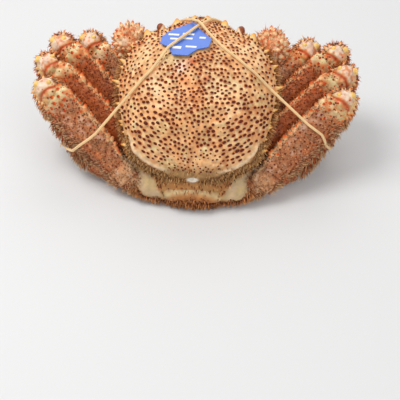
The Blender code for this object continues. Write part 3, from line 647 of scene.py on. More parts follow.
def add_specks(nodes, links, colour, share):
    """The colour under small red specks."""
    place = nodes.new("ShaderNodeTexCoord")
    cells = with_inputs(nodes.new("ShaderNodeTexVoronoi"), {"Scale": 1 / (SPECK_SIZE * MM)})
    links.new(place.outputs["Object"], cells.inputs["Vector"])
    blend = nodes.new("ShaderNodeMix")
    blend.data_type = "RGBA"
    blend.inputs["B"].default_value = (*linear(DEEP_RED), 1)
    links.new(ranged(nodes, links, cells.outputs["Distance"], *SPECK_EDGE, share, 0), blend.inputs["Factor"])
    links.new(colour, blend.inputs["A"])
    return blend.outputs["Result"]


def chitin(name, roughness, mottle=0.2, specks=0.0, bump=0.15, coat=0.0, shine=0.3):
    """A piece's own tints under cloudy mottle, with specks and a fine grain."""
    material, nodes, links = new_material(name)
    gloss = {"Specular IOR Level": shine, "Coat Weight": coat, "Coat Roughness": COAT_ROUGHNESS}
    shader = with_inputs(nodes["Principled BSDF"], gloss)
    tint = nodes.new("ShaderNodeAttribute")
    tint.attribute_name = "Tint"
    cloud = noise(nodes, links, MOTTLE_SCALE, MOTTLE_DETAIL)
    shaded = nodes.new("ShaderNodeVectorMath")
    shaded.operation = "SCALE"
    links.new(tint.outputs["Color"], shaded.inputs[0])
    links.new(ranged(nodes, links, cloud, *MOTTLE_RANGE, 1 - mottle, 1 + mottle), shaded.inputs["Scale"])
    colour = shaded.outputs["Vector"]
    if specks:
        colour = add_specks(nodes, links, colour, specks)
    links.new(colour, shader.inputs["Base Color"])
    rough = roughness * (1 - GLOSS_SPREAD), roughness * (1 + GLOSS_SPREAD)
    links.new(ranged(nodes, links, cloud, *MOTTLE_RANGE, *rough), shader.inputs["Roughness"])
    if bump:
        add_bump(nodes, links, noise(nodes, links, GRAIN_SCALE, GRAIN_DETAIL), bump, GRAIN_DEPTH)
    return material


def plain_material(name, colour, roughness, bump=0.0, coat=0.0):
    """One colour with a faint cloudy shade."""
    material, nodes, links = new_material(name)
    shader = with_inputs(nodes["Principled BSDF"], {"Roughness": roughness, "Coat Weight": coat})
    cloud = noise(nodes, links, PLAIN_SCALE)
    blend = nodes.new("ShaderNodeValToRGB")
    for element, share in zip(blend.color_ramp.elements, PLAIN_SHADES):
        element.color = (*linear(np.minimum(np.array(colour) * share, 255)), 1)
    links.new(cloud, blend.inputs["Fac"])
    links.new(blend.outputs["Color"], shader.inputs["Base Color"])
    if bump:
        add_bump(nodes, links, cloud, bump, PLAIN_DEPTH)
    return material


SHELL_LOOK = chitin("shell_chitin", 0.45, mottle=0.25, bump=0.3, coat=0.08)
LEG_LOOK = chitin("leg_chitin", 0.48, mottle=0.25, specks=0.5, bump=0.3, coat=0.05)
KNEE_LOOK = chitin("knee_chitin", 0.42, mottle=0.25, specks=0.3, bump=0.3, coat=0.1)
BELLY_LOOK = chitin("belly_chitin", 0.45, mottle=0.14, bump=0.15)
STUD_LOOK = chitin("stud_chitin", 0.4, mottle=0.12, bump=0.1, coat=0.03, shine=0.2)
EYE_LOOK = chitin("eye_gloss", 0.25, mottle=0.1, bump=0.0, coat=0.12)
BRISTLE_LOOK = chitin("bristle", 0.5, mottle=0.12, bump=0.0, shine=0.2)


# The shell.

SHELL_RINGS = 96
SHELL_AROUND = 288
RING_CROWDING = 0.85
CROWN_FLATNESS = 2.3
CROWN_ROUNDNESS = 0.72
SURFACE_STEP = 0.004
RIM_HEIGHT = -4
# Where the rim starts to sink fore and aft, over what run, and how far.
RIM_FORE = (30, 45, 5)
RIM_AFT = (20, 40, 9)
KNOB_CANDIDATES = 22000
# Between which shares of the shell's area, from its crown, the knobs stand.
KNOB_REACH = (0.0004, 0.94)
KNOB_SIZES = (0.78, 1.25)
KNOB_HEIGHT = 0.75
RIM_KNOB_RISE = 0.9
HALO_FADES = (0.1, 0.4)
KNOB_SPACING = 2.55
KNOB_RADIUS = 1.02
KNOB_LANE = STUD_LANE - 0.5
KNOB_TIP_TINTS = [SHELL_DOT, (74, 20, 6), (112, 42, 18)]
SMALL_TEETH = 34
BROW_TOOTH_RADIUS = 4.8
MARGIN_TOOTH_RADIUS = 1.9
SMALL_TOOTH_HEIGHT = 2.1
SMALL_TOOTH_RADIUS = 1.1
SMALL_TOOTH_SIZES = (0.6, 1.3)
CHIP_WHITE = (250, 244, 228)
CHIP_AHEAD = -58.0
KNOB_PROFILE = [(1.4, -0.12), (1.12, 0.2), (0.88, 0.45), (0.62, 0.82), (0, 1.0)]
TOOTH_PROFILE = [(1.1, -0.5), (1.0, 0.0), (0.78, 0.35), (0.5, 0.7), (0.22, 0.93), (0, 1.0)]
TOOTH_TINTS = [
    SHELL_GROUND, (238, 180, 112), (246, 206, 140), (244, 184, 96), (226, 132, 66), (186, 84, 40),
]
SHELL_MOTTLE = (SHELL_GROUND, [
    (SHELL_PINK, 7, 2, 0.3, 0.7, 1), (CREAM, 3.5, 5, 0.5, 0.75, 0.7), (PALE_GREEN, 8, 9, 0.6, 0.8, 0.4),
    ((208, 132, 78), 2.2, 41, 0.5, 0.8, 0.5),
])
CHEEK_MOTTLE = ((214, 132, 78), [(CREAM, 5, 44, 0, 1, 0.7)])
# Where the shell's ground changes, in body axes: (side, ahead, radius, colour, share).
SHELL_PATCHES = [
    (-31, 8, 9, CREAM, 0.8), (14, 9, 8, CREAM, 0.8), (-12, 23, 5, WHITE_PINK, 0.85),
    (-3, 27, 3.5, RED_ORANGE, 0.7), (-20, 30, 6, PALE_GREEN, 0.5), (30, 10, 7, CREAM, 0.6),
    (0, 2, 6, ORANGE, 0.45), (-8, 12, 4, ORANGE, 0.5), (8, 14, 3, RED_ORANGE, 0.5),
    (40, 40, 12, CREAM, 0.35), (-40, 38, 12, CREAM, 0.35), (-30, -28, 8, PALE_GREEN, 0.2),
    (24, -26, 9, PALE_GREEN, 0.2), (0, -22, 9, SHELL_PINK, 0.5),
]


def rim_height(ahead):
    """How high the shell's rim lies: level beside the middle, and sinking fore and aft."""
    height = RIM_HEIGHT
    for way, (start, run, sink) in ((1, RIM_FORE), (-1, RIM_AFT)):
        height = height - sink * np.maximum(0.0, (way * ahead - start) / run) ** 2
    return height


def shell_outline(q):
    last = len(SHELL_OUTLINE) - 1
    return smooth_columns([(i / last, *place) for i, place in enumerate(SHELL_OUTLINE)], q)


def half_turn(turn):
    """The place along half of the rim, and the side, for a turn from 0 to 2 right round."""
    turn = np.mod(turn, 2)
    return np.where(turn <= 1, turn, 2 - turn), np.where(turn <= 1, 1, -1)


def shell_ring(turn, s, height):
    """Places in body axes at a share s of the way out, at a height above the rim's plane."""
    q, sign = half_turn(turn)
    rim = shell_outline(q)
    return np.stack([rim[..., 0] * s * sign, SHELL_CENTRE + (rim[..., 1] - SHELL_CENTRE) * s, height], -1)


def shell_top(q, s, sign):
    """Places on the shell's upper side, in body axes; s is 0 at the crown and 1 at the rim."""
    rim = shell_outline(q)
    u = rim[..., 0] * s
    v = SHELL_CENTRE + (rim[..., 1] - SHELL_CENTRE) * s
    dome = np.maximum(0, 1 - s**CROWN_FLATNESS) ** CROWN_ROUNDNESS
    height = rim_height(rim[..., 1]) * s**2 + CROWN_HEIGHT * dome
    for bump_u, bump_v, radius, bump in SHELL_RELIEF:
        for place in {bump_u, -bump_u}:
            near = (u - place) ** 2 + (v - bump_v) ** 2
            height = height + bump * np.exp(-near / radius**2) * (1 - s**4)
    return np.stack([u * sign, v, height], -1)


def shell_surface(turn, s):
    """World places, outward ways and body places for turns of 0 to 2 right round the shell."""
    q, sign = half_turn(turn)
    step = SURFACE_STEP
    place = shell_top(q, s, sign)
    beside = shell_top(np.minimum(q + step, 1), s, sign) - shell_top(np.maximum(q - step, 0), s, sign)
    out = shell_top(q, np.minimum(s + step, 1), sign) - shell_top(q, s - step, sign)
    normal = unit(np.cross(beside, out))
    normal = np.where(normal[..., 2:3] < 0, -normal, normal)
    return body_place(place), body_turn(normal), place


def hind_rim(body, s):
    """The thick raised edge that runs inside the rim behind each side, 0 to 1; its pale colour is a painted
    highlight along the ridge.
    """
    side, ahead = np.abs(body[:, 0]), body[:, 1]
    wander = (lumps(body, 9, 43) - 0.5) * 0.02
    return bell(s, 0.925 + wander, 0.015) * ramp(-ahead, 24, 34) * ramp(side, 16, 24)


def shell_tint(body, s):
    """The ground's colour over the shell."""
    u, v = body[:, 0], body[:, 1]
    tint = mottled(body, SHELL_MOTTLE)
    for side, ahead, radius, colour, share in SHELL_PATCHES:
        tint = mix(tint, colour, np.exp(-((u - side) ** 2 + (v - ahead) ** 2) / radius**2) * share)
    hind = ramp(-v, 24, 34)
    tint = mix(tint, REAR_TAN, ramp(s, 0.85, 0.9) * hind * (1 - ramp(np.abs(u), 16, 28)))
    tint = mix(tint, OLIVE, ramp(s, 0.94, 0.965) * hind * 0.75)
    # painted highlight: the raised hind edge is painted pale
    tint = mix(tint, PALE_RIM, hind_rim(body, s))
    chip = np.exp(-((u / 5.4) ** 2) - ((v - CHIP_AHEAD) / 1.7) ** 2)
    return mix(tint, CHIP_WHITE, ramp(chip, 0.35, 0.55))


def under_tint(places):
    """Painted shade in deep brown under the shell's sides, and pale orange cheeks in front."""
    # painted shade: deep brown where the underside lies under the shell's rim
    return mix(DEEP_BROWN, mottled(places, CHEEK_MOTTLE), ramp(to_body(places)[:, 1], 34, 50))


def make_shell():
    build = Build("crab_shell")
    turn = 2 * np.arange(SHELL_AROUND) / SHELL_AROUND
    points, tints = [], []
    for i in range(1, SHELL_RINGS + 1):
        s = np.full(SHELL_AROUND, (i / SHELL_RINGS) ** RING_CROWDING)
        place, way, body = shell_surface(turn, s)
        lift = (lumps(place, 3.2) - 0.5) * 0.8 + (lumps(place, 8, 5) - 0.5) * 1.4 + hind_rim(body, s)
        points.append(place + way * (lift * min(1, (SHELL_RINGS - i) / 6))[:, None])
        tints.append(shell_tint(body, s))
    rim = shell_outline(half_turn(turn)[0])[:, 1]
    under = [(s, rim_height(rim) + drop) for s, drop in SHELL_UNDER_RINGS]
    # the rings under the rim carry painted shade from under_tint
    for s, height in under + [(SHELL_BELLY_RING, np.full(SHELL_AROUND, SHELL_BELLY))]:
        points.append(body_place(shell_ring(turn, s, height)))
        tints.append(under_tint(body_place(shell_ring(turn, s, height))))
    crown = shell_surface(np.zeros(1), np.full(1, 0.005))[0]
    points = np.concatenate([*points, crown, points[-1].mean(axis=0)[None]])
    # painted shade: the point in the middle under the shell is deep brown
    tints = np.concatenate([*tints, [SHELL_GROUND, DEEP_BROWN]])
    build.add(points, outward(points, grid_faces(SHELL_RINGS + len(under) + 1, SHELL_AROUND)), tints)
    knobs = add_shell_knobs(build)
    add_shell_teeth(build)
    settle(build.object([SHELL_LOOK, STUD_LOOK]), "shell", "carapace")
    return knobs


def add_shell_knobs(build):
    """The shell's many dark-tipped knobs, drawn out towards its rear."""
    draw = np.random.default_rng(5)
    turn = draw.uniform(0, 2, KNOB_CANDIDATES)
    s = np.sqrt(draw.uniform(*KNOB_REACH, KNOB_CANDIDATES))
    place, way, body = shell_surface(turn, s)
    aside, aft = np.abs(body[:, 0]), -body[:, 1]
    # They stand further apart at the sides and behind, and closer again by the rear edge.
    spacing = KNOB_SPACING + 0.75 * ramp(aside, 10, 42) + 0.3 * ramp(aft, 0, 25) - 0.4 * ramp(aft, 34, 48)
    kept = thinned(place, spacing)
    kept = kept[off_tag(place[kept]) & off_lane(place[kept], KNOB_LANE)]
    kept = kept[(aft[kept] < 24) | (s[kept] < 0.9)]
    place, way, body, s, aside, aft = (part[kept] for part in (place, way, body, s, aside, aft))
    count = len(place)
    ways = way + body_turn((0, 0.3, 0.1))
    size = draw.uniform(*KNOB_SIZES, count) * (1 - 0.35 * ramp(aft, 36, 50))
    pull = np.stack([-np.sign(body[:, 0]) * 0.85, np.full(count, -0.5), np.zeros(count)], -1)
    stretch = body_turn(pull) * (0.75 * ramp(aside, 8, 34) * ramp(aft, -22, 18))[:, None]
    ground = shell_tint(body, s)
    halo = mix(SHELL_HALO, ground, draw.uniform(*HALO_FADES, count))
    tints = [mix(ground, SHELL_HALO, 0.3), halo, *KNOB_TIP_TINTS]
    heights = (KNOB_HEIGHT + RIM_KNOB_RISE * ramp(s, 0.82, 0.95)) * size
    add_studs(build, place, ways, heights, KNOB_RADIUS * size, KNOB_PROFILE, tints, slot=1, stretch=stretch)
    return place, unit(ways), body, size


def add_shell_teeth(build):
    """The brow's and margins' teeth, with a row of small ones all along the rim."""
    draw = np.random.default_rng(6)
    teeth = []
    for sign in SIDES.values():
        for side, ahead, length in BROW_TEETH:
            root = (side * sign, ahead - 2.5, rim_height(ahead) - 0.6)
            teeth.append((root, (side * sign * 0.25, 30, 4), length + 2.6, BROW_TOOTH_RADIUS))
        for side, ahead, length in MARGIN_TEETH:
            root = ((side - 1.2) * sign, ahead, rim_height(ahead) - 0.2)
            teeth.append((root, (side * sign, ahead * 0.25 + 14, 8), length + 1.6, MARGIN_TOOTH_RADIUS))
        for q in np.linspace(0.03, 0.76, SMALL_TEETH) + draw.uniform(-0.008, 0.008, SMALL_TEETH):
            side, ahead = shell_outline(q)
            root = ((side - 0.4) * sign, ahead - 0.3, rim_height(ahead) - 0.3)
            way = (side * sign, max(4, ahead) * 0.6, 10)
            size = draw.uniform(*SMALL_TOOTH_SIZES)
            teeth.append((root, way, SMALL_TOOTH_HEIGHT * size, SMALL_TOOTH_RADIUS * size))
    roots, ways, heights, radii = (np.array(part, float) for part in zip(*teeth))
    add_studs(
        build, body_place(roots), body_turn(ways), heights, radii, TOOTH_PROFILE, TOOTH_TINTS,
        sides=10, slot=1,
    )


# Studs and bristles on a limb.

BRISTLE_LENGTHS = (0.55, 1.3)
BRISTLE_WIDTHS = (0.7, 1.25)
BRISTLE_STRAY = 0.24
STUD_SIZES = (0.6, 1.35)
ROW_SIZES = (0.5, 1.3)
ROW_STRAY = 0.016
ROW_LEAN = 0.45
SPINE_PROFILE = [(1.2, -0.35), (1.0, 0.05), (0.72, 0.45), (0.36, 0.85), (0, 1.0)]
THORN_PROFILE = [(1.1, -0.35), (1.0, 0.1), (0.78, 0.4), (0.55, 0.66), (0.28, 0.9), (0, 1.0)]
BOSS_PROFILE = [(1.2, -0.35), (1.0, 0.1), (0.86, 0.45), (0.56, 0.82), (0, 1.0)]
KNOB_TINTS = [TAN, (244, 204, 150), (232, 140, 72), (206, 78, 30), (156, 48, 20)]
SPOT_TINTS = [(226, 160, 96), (226, 120, 58), (210, 84, 34), (176, 58, 24), (150, 46, 20)]
DOT_TINTS = [TAN, (160, 74, 38), (116, 36, 20), (96, 30, 16), (120, 48, 28)]
SPINE_TINTS = [LEG_BROWN, (214, 130, 76), RED_ORANGE, DEEP_RED, (84, 26, 16)]


class Fur:
    """How bristles grow on a limb: how many a square mm, their size in mm, their lie and colours."""

    def __init__(self, density, length, width=0.5, lean=0.9, lift=0.6, droop=(0, 0, -0.2),
                 tints=(HAIR_DARK, HAIR_PALE), span=(0.02, 0.98), share=None, growth=None):
        self.density, self.length, self.width = density, length, width
        self.lean, self.lift, self.droop = lean, lift, droop
        self.tints, self.span = tints, span
        self.share, self.growth = share, growth


def add_limb_fur(coat, limb, cell, fur, draw):
    """Bristles all over a limb; cell is the (corner, size) of its patch on the coat's map."""
    count = int(limb.area() * fur.density)
    t, angle = draw.uniform(*fur.span, count), draw.uniform(0, 2 * np.pi, count)
    if fur.share is not None:
        chosen = draw.uniform(0, 1, count) < fur.share(t, angle)
        t, angle = t[chosen], angle[chosen]
    roots = limb.points(t, angle)
    keep = off_lane(roots, HAIR_LANE)
    t, angle, roots = t[keep], angle[keep], roots[keep]
    count = len(t)
    ways = limb.normals(t, angle) * fur.lift + limb.forward * fur.lean
    ways = ways + draw.normal(0, BRISTLE_STRAY, (count, 3))
    lengths = fur.length * draw.uniform(*BRISTLE_LENGTHS, count)
    if fur.growth is not None:
        lengths = lengths * fur.growth(t, angle)
    spots = on_map(cell, t, angle / (2 * np.pi))
    widths = fur.width * draw.uniform(*BRISTLE_WIDTHS, count)
    add_hairs(coat, roots, ways, lengths, widths, fur.tints, spots, fur.droop, draw)


MAP_MARGIN = 0.01
STRIP_LENGTH = 0.97
STRIP_FILL = 0.94


def strips(count):
    """Equal strips of a coat's map, with a margin between them."""
    step = (1 - 2 * MAP_MARGIN) / count
    size = (STRIP_LENGTH, step * STRIP_FILL)
    return iter([((MAP_MARGIN, MAP_MARGIN + step * i), size) for i in range(count)])


def finish_coat(coat, slot):
    settle(coat.object([BRISTLE_LOOK], with_map=True, smooth=False), slot)


FADE_MOST = 0.7
FADE_POWER = 1.5


def varied(tints, count, draw):
    """A stud's tints, each stud faded by its own share towards its second tint."""
    fade = draw.uniform(0, FADE_MOST, count) ** FADE_POWER
    return [mix(tint, tints[1], fade) for tint in tints]


def add_limb_studs(build, limb, spacing, height, radius, draw, tints=SPINE_TINTS, lean=0.4,
                   span=(0.03, 0.97), keep=None, profile=SPINE_PROFILE):
    """Studs scattered over a limb, no nearer to each other than spacing."""
    count = int(limb.area() / spacing**2 * 4)
    t, angle = draw.uniform(*span, count), draw.uniform(0, 2 * np.pi, count)
    if keep is not None:
        chosen = keep(t, angle)
        t, angle = t[chosen], angle[chosen]
    roots = limb.points(t, angle)
    kept = thinned(roots, spacing)
    kept = kept[off_lane(roots[kept], STUD_LANE)]
    ways = limb.normals(t[kept], angle[kept]) + limb.forward * lean
    size = draw.uniform(*STUD_SIZES, len(kept))
    tints = varied(tints, len(kept), draw)
    add_studs(build, roots[kept], ways, height * size, radius * size, profile, tints, sides=7, slot=1)


def add_stud_row(build, limb, angle, places, height, radius, draw, tints=KNOB_TINTS, stray=0.1,
                 profile=BOSS_PROFILE):
    """A row of studs along a limb."""
    count = len(places)
    t = places + draw.uniform(-ROW_STRAY, ROW_STRAY, count)
    angle = angle + draw.uniform(-stray, stray, count)
    roots, size = limb.points(t, angle), draw.uniform(*ROW_SIZES, count)
    keep = off_lane(roots, STUD_LANE)
    tints = [tint[keep] for tint in varied(tints, count, draw)]
    ways = limb.normals(t, angle) + limb.forward * ROW_LEAN
    heights, radii = height * size[keep], radius * size[keep]
    add_studs(build, roots[keep], ways[keep], heights, radii, profile, tints, slot=1)


# The legs.

REAR_LEG = 5
PALE_LEGS = (2, REAR_LEG)
SHADED_LEG = 3
STRIP_ORANGE = (212, 88, 28)
KNEE_SHADE = (186, 92, 48)
TOE_DARK = (64, 32, 20)
MERUS_PATCHES = [(ORANGE, 7, 4, 0, 1, 0.35), (DEEP_BROWN, 2.5, 21, 0, 1, 0.35)]
PALE_MERUS = (TAN, MERUS_PATCHES + [(WHITE_PINK, 3, 40, 0.55, 0.8, 0.5)])
RED_MERUS = (LEG_BROWN, MERUS_PATCHES + [(WHITE_PINK, 3, 40, 0.55, 0.8, 0.15)])
MERUS_END = (CREAM, [(PALE_GREEN, 5, 6, 0, 1, 1), (ORANGE, 4, 22, 0.55, 0.75, 0.75)])
ROOT_MOTTLE = (TAN, [(CREAM, 4, 33, 0, 1, 0.6), (LEG_BROWN, 3, 34, 0.4, 0.7, 1)])
KNEE_MOTTLE = ((232, 196, 148), [((206, 184, 128), 5, 8, 0, 1, 1), (ORANGE, 3, 23, 0.5, 0.75, 0.6)])
KNEE_RUST = [((214, 116, 62), 2.4, 31, 0.55, 0.75, 0.7)]
LOWER_MOTTLE = (LEG_BROWN, [(ORANGE, 6, 9, 0, 1, 0.55), (DEEP_BROWN, 2.5, 26, 0, 1, 0.35)])
DACTYL_MOTTLE = (RED_ORANGE, [(TAN, 5, 10, 0, 1, 1)])
# A bristle's colours at its root and its tip.
PALE_LEG_HAIR = ((122, 56, 28), (254, 212, 160))
RED_LEG_HAIR = ((104, 34, 12), (242, 146, 76))
ROOT_START = (33, -63, -27)
ROOT_OVERLAP = 4.0
ROOT_SECTIONS = [(0, 7, 5.6), (0.5, 9.0, 5.4), (1, 8.8, 4.4)]
KNEE_LUMP_PROFILE = [(1.15, -0.4), (1.0, 0.1), (0.85, 0.5), (0.5, 0.85), (0, 1.0)]
KNEE_LUMP_TINTS = [CREAM, (240, 200, 120), YELLOW, (248, 200, 108), (250, 212, 130)]
KNEE_SPOT_TINTS = [WHITE_PINK, ORANGE, RED_ORANGE, DEEP_RED, DEEP_RED]


def leg_limbs(number, side):
    """The merus, carpus, propodus and dactyl of one leg."""
    out = np.array([KNEE_SHIFT[side][number], 0, 0])
    sign = SIDES[side]
    hip, knee = body_place(HIPS[number]), body_place(KNEES[number]) + out
    wrist, toe, tip = (np.array(joint, float) + out for joint in LOWER_JOINTS[number])
    lift = body_turn((0, 0, 1))
    inward = np.cross(lift, unit(knee - hip))
    half, thick, neck = MERUS_WIDTH[number] / 2, MERUS_THICKNESS / 2, MERUS_NECK[number] / 2
    sections = [
        (0, neck * 0.9, 5.2), (0.10, neck, 5.0), (0.17, neck * 0.94, 4.4),
        (0.25, half * 0.86, thick * 0.94), (0.42, half * 0.98, thick), (0.62, half, thick),
        (0.82, half * 0.97, thick * 1.03), (0.94, half * 0.9, thick * 1.1), (1, half * 0.8, thick * 1.1),
    ]
    flat = lift * math.cos(MERUS_ROLL) - inward * math.sin(MERUS_ROLL)
    merus = Limb(hip, knee, flat, sections, (0.03, 0.07), sign)
    fold = unit(np.cross(knee - wrist, toe - wrist))
    fold = fold if fold.dot(merus.thin) > 0 else -fold
    top = knee + merus.along * KNEE_OUT
    top = top + unit(top - wrist) * KNEE_BACK
    carpus = Limb(top, wrist, fold + merus.thin * 0.5, CARPUS_SECTIONS, (0.24, 0.14), sign)
    propodus = Limb(wrist, toe, fold, PROPODUS_SECTIONS, (0.10, 0.08), sign)
    dactyl = Limb(toe, tip, fold, DACTYL_SECTIONS, (0.06, 0.05), sign)
    return merus, carpus, propodus, dactyl


def leg_root(merus, sign):
    """The short segment that carries a rear leg, from inside the body to the leg's end."""
    start = merus.start + merus.along * ROOT_OVERLAP
    return Limb(body_place(ROOT_START), start, merus.thin, ROOT_SECTIONS, (0.1, 0.12), sign)


def merus_tint(number):
    """The long segment: orange along its outer strip, cream along its inner ridge, pale by the knee, with
    painted shade in deep brown underneath and on the shaded leg's inner part.
    """
    pale_leg = number in PALE_LEGS

    def tint(t, angle, places):
        outer, above = (1 - np.cos(angle)) / 2, np.sin(angle)
        colour = mottled(places, PALE_MERUS if pale_leg else RED_MERUS)
        colour = mix(colour, STRIP_ORANGE, ramp(outer, 0.48, 0.7) * (0.2 if pale_leg else 0.85))
        colour = mix(colour, CREAM, ramp(np.cos(angle), 0.82, 0.97) * 0.75)
        # painted shade: deep brown on the underside
        colour = mix(colour, DEEP_BROWN, ramp(-above, 0.2, 0.8) * 0.4)
        # painted shade: the shaded leg darker towards the shell
        if number == SHADED_LEG:
            colour = mix(colour, DEEP_BROWN, ramp(0.6 - t, 0, 0.35) * 0.6)
        knee_end = ramp(t, 0.8, 0.92) * ramp(above, -0.4, 0.1)
        colour = mix(colour, mottled(places, MERUS_END), knee_end * 0.9)
        return mix(colour, BELLY, ramp(0.18 - t, 0, 0.08) * 0.4)

    return tint


def root_tint(t, angle, places):
    return mottled(places, ROOT_MOTTLE)


def merus_shape(t, angle, places):
    """Ridges along both edges, a swelling before the knee, and grooves at both ends."""
    ridge = ramp(np.cos(angle), 0.85, 1) * 0.6 + ramp(-np.cos(angle), 0.85, 1) * 0.3
    return ridge + bell(t, 0.9, 0.03) * 0.7 - bell(t, 0.955, 0.012) * 0.6 - bell(t, 0.165, 0.012) * 0.9


def knee_arc(merus, places):
    """The curved groove across a knee's upper side, 0 to 1."""
    ahead, outer, above = merus.from_end(places)
    return bell(ahead + 0.04 * outer**2, 0.8, 1.3) * ramp(above, -2, 2)


def carpus_tint(merus):
    """The knee: pink and cream above with a red groove across, and brown below."""

    def tint(t, angle, places):
        ahead, outer, above = merus.from_end(places)
        colour = mottled(places, KNEE_MOTTLE)
        colour = mix(colour, WHITE_PINK, ramp(ahead, 1.5, 3.5) * ramp(outer, 9, 4) * 0.7)
        colour = mottled(places, (colour, KNEE_RUST))
        colour = mix(colour, YELLOW, ramp(outer, 3, 8) * ramp(lumps(places, 5, 24), 0.4, 0.6) * 0.6)
        colour = mix(colour, RED_ORANGE, knee_arc(merus, places))
        colour = mix(colour, KNEE_SHADE, ramp(lumps(places, 3, 25), 0.35, 0.7) * ramp(-above, -1, 6))
        return mix(colour, LEG_BROWN, ramp(-above, 6, 14))

    return tint


def lower_tint(t, angle, places):
    return mix(mottled(places, LOWER_MOTTLE), CREAM, ramp(np.cos(angle), 0.8, 0.97) * 0.45)


def dactyl_tint(t, angle, places):
    return mix(mottled(places, DACTYL_MOTTLE), TOE_DARK, ramp(t, 0.84, 0.94))


def add_knee(build, merus, carpus, draw):
    """The bare dome of a knee: its yellow lumps, its dark dots and the spines round it."""
    along, outer, above = merus.along, -merus.wide, merus.thin
    lumps_on = (
        (along * 0.8 + above * 0.55 + outer * 0.1, 2.2, 2.9),
        (outer * 0.9 + above * 0.5 + along * 0.1, 1.6, 2.4),
        (merus.wide * 0.8 + above * 0.6 + along * 0.3, 1.3, 1.9),
    )
    dots_on = (
        (above - along * 0.45 + outer * 0.15, 0.5, 0.8),
        (above * 0.8 - along * 0.4 - outer * 0.5, 0.5, 0.8),
    )
    for group, profile, tints, sides, slot in (
        (lumps_on, KNEE_LUMP_PROFILE, KNEE_LUMP_TINTS, 14, 2), (dots_on, SPINE_PROFILE, DOT_TINTS, 8, 0),
    ):
        for way, height, radius in group:
            t, angle = carpus.facing(way)
            root, normal = carpus.points(t, angle), carpus.normals(t, angle)
            add_studs(build, [root], [normal], height, radius, profile, tints, sides, slot)

    def around(t, angle):
        ahead, outward_edge, above_knee = merus.from_end(carpus.points(t, angle))
        return (above_knee < -0.5) | (ahead > 11.5) | (outward_edge > 9)

    add_limb_studs(build, carpus, 2.8, 3.0, 1.15, draw, KNOB_TINTS, keep=around)
    add_limb_studs(build, carpus, 6.0, 0.4, 0.8, draw, KNEE_SPOT_TINTS)


def make_leg(number, side):
    """One leg: the skins of its segments, the studs on them, and its coat."""
    draw = np.random.default_rng(100 * number + (side == "left"))
    build = Build(f"crab_leg_{number}_{side}")
    merus, carpus, propodus, dactyl = leg_limbs(number, side)

    def groove(t, angle, places):
        return -1.1 * knee_arc(merus, places)

    add_limb(build, merus, merus_tint(number), 90, 56, 0.3, shape=merus_shape)
    add_limb(build, carpus, carpus_tint(merus), 60, 56, 0.9, slot=2, shape=groove)
    add_limb(build, propodus, lower_tint, 44, 34, 0.3)
    add_limb(build, dactyl, dactyl_tint, 36, 24, 0.15)
    if number == REAR_LEG:
        add_limb(build, leg_root(merus, SIDES[side]), root_tint, 36, 40, 0.5)
    # Rows of studs by the inner edge: (angle, first place, last place, count, height, radius, stray).
    for angle, first, last, count, height, radius, stray in (
        (0.12, 0.2, 0.96, 22, 3.0, 1.65, 0.2), (0.5, 0.27, 0.96, 14, 2.0, 1.35, 0.35),
        (-0.5, 0.25, 0.95, 14, 2.0, 1.4, 0.2),
    ):
        places = np.linspace(first, last, count)
        add_stud_row(build, merus, angle, places, height, radius, draw, stray=stray)
    outer_row = np.linspace(0.2, 0.96, 28)
    add_stud_row(build, merus, math.pi, outer_row, 3.8, 0.9, draw, SPINE_TINTS, 0.3, SPINE_PROFILE)
    add_limb_studs(build, merus, 2.9, 0.6, 0.75, draw, DOT_TINTS, span=(0.16, 0.97), profile=BOSS_PROFILE)
    add_limb_studs(build, merus, 4.6, 1.2, 1.2, draw, SPOT_TINTS, span=(0.78, 0.98), profile=BOSS_PROFILE)
    add_knee(build, merus, carpus, draw)
    add_limb_studs(build, propodus, 2.6, 3.2, 0.95, draw)
    add_limb_studs(build, dactyl, 2.8, 1.1, 0.6, draw, span=(0.03, 0.75))
    nodes = [f"leg_{number}_{side}_{part}" for part in ("merus", "carpus", "propodus", "dactyl")]
    settle(build.object([LEG_LOOK, STUD_LOOK, KNEE_LOOK]), "leg", *nodes)
    make_leg_coat(number, side, merus, carpus, propodus, dactyl)


def make_leg_coat(number, side, merus, carpus, propodus, dactyl):
    """A leg's bristles, longest on the outer edge and under the knee, and few on the bare upper side."""
    draw = np.random.default_rng(500 + 10 * number + (side == "left"))
    coat = Build(f"crab_bristles_{number}_{side}")
    cells = strips(5)
    rear = number == REAR_LEG
    tints = PALE_LEG_HAIR if number in PALE_LEGS else RED_LEG_HAIR

    def share(t, angle):
        top = ramp(np.sin(angle), 0.2, 0.6)
        bare = (0.35 if rear else 0.2 + 0.65 * ramp(-np.cos(angle), -0.2, 0.4)) * top
        end = ramp(t, 0.82, 0.88) * ramp(np.sin(angle), -0.3, 0.1)
        return (1 - bare) * (1 - 0.85 * end)

    def growth(t, angle):
        return 0.8 + 0.7 * ramp(-np.cos(angle), 0.3, 0.9) - 0.25 * ramp(np.sin(angle), 0.3, 0.8)

    def below(t, angle):
        _, _, above = merus.from_end(carpus.points(t, angle))
        return ramp(-above, -2, 1)

    furs = [
        (merus, Fur(0.65, 3.8, 0.6, tints=tints, lift=0.8, share=share, growth=growth)),
        (carpus, Fur(1.0, 5.2, 0.6, tints=tints, share=below, lift=1.1)),
        (propodus, Fur(0.72, 5.6 if rear else 4.2, 0.64, tints=tints, lift=1.2)),
        (dactyl, Fur(0.8, 2.6, tints=tints, span=(0.02, 0.8))),
    ]
    if rear:
        furs.append((leg_root(merus, SIDES[side]), Fur(0.9, 3.6, 0.6, tints=tints, lean=0.2, lift=1.0)))
    for limb, fur in furs:
        add_limb_fur(coat, limb, next(cells), fur, draw)
    finish_coat(coat, "leg")


# The claws.

CLAW_MOTTLE = ((228, 160, 112), [
    ((206, 98, 50), 4, 12, 0.3, 0.7, 0.85), ((246, 218, 186), 5, 13, 0.5, 0.7, 0.85),
])
FINGER_MOTTLE = (ORANGE, [(CREAM, 5, 14, 0, 1, 0.4)])
CLAW_TINTS = [
    (230, 156, 100), (252, 228, 184), (248, 204, 150), (220, 110, 52), (196, 62, 24), (104, 30, 16),
]
CLAW_HAIR = ((196, 116, 66), (250, 212, 168))


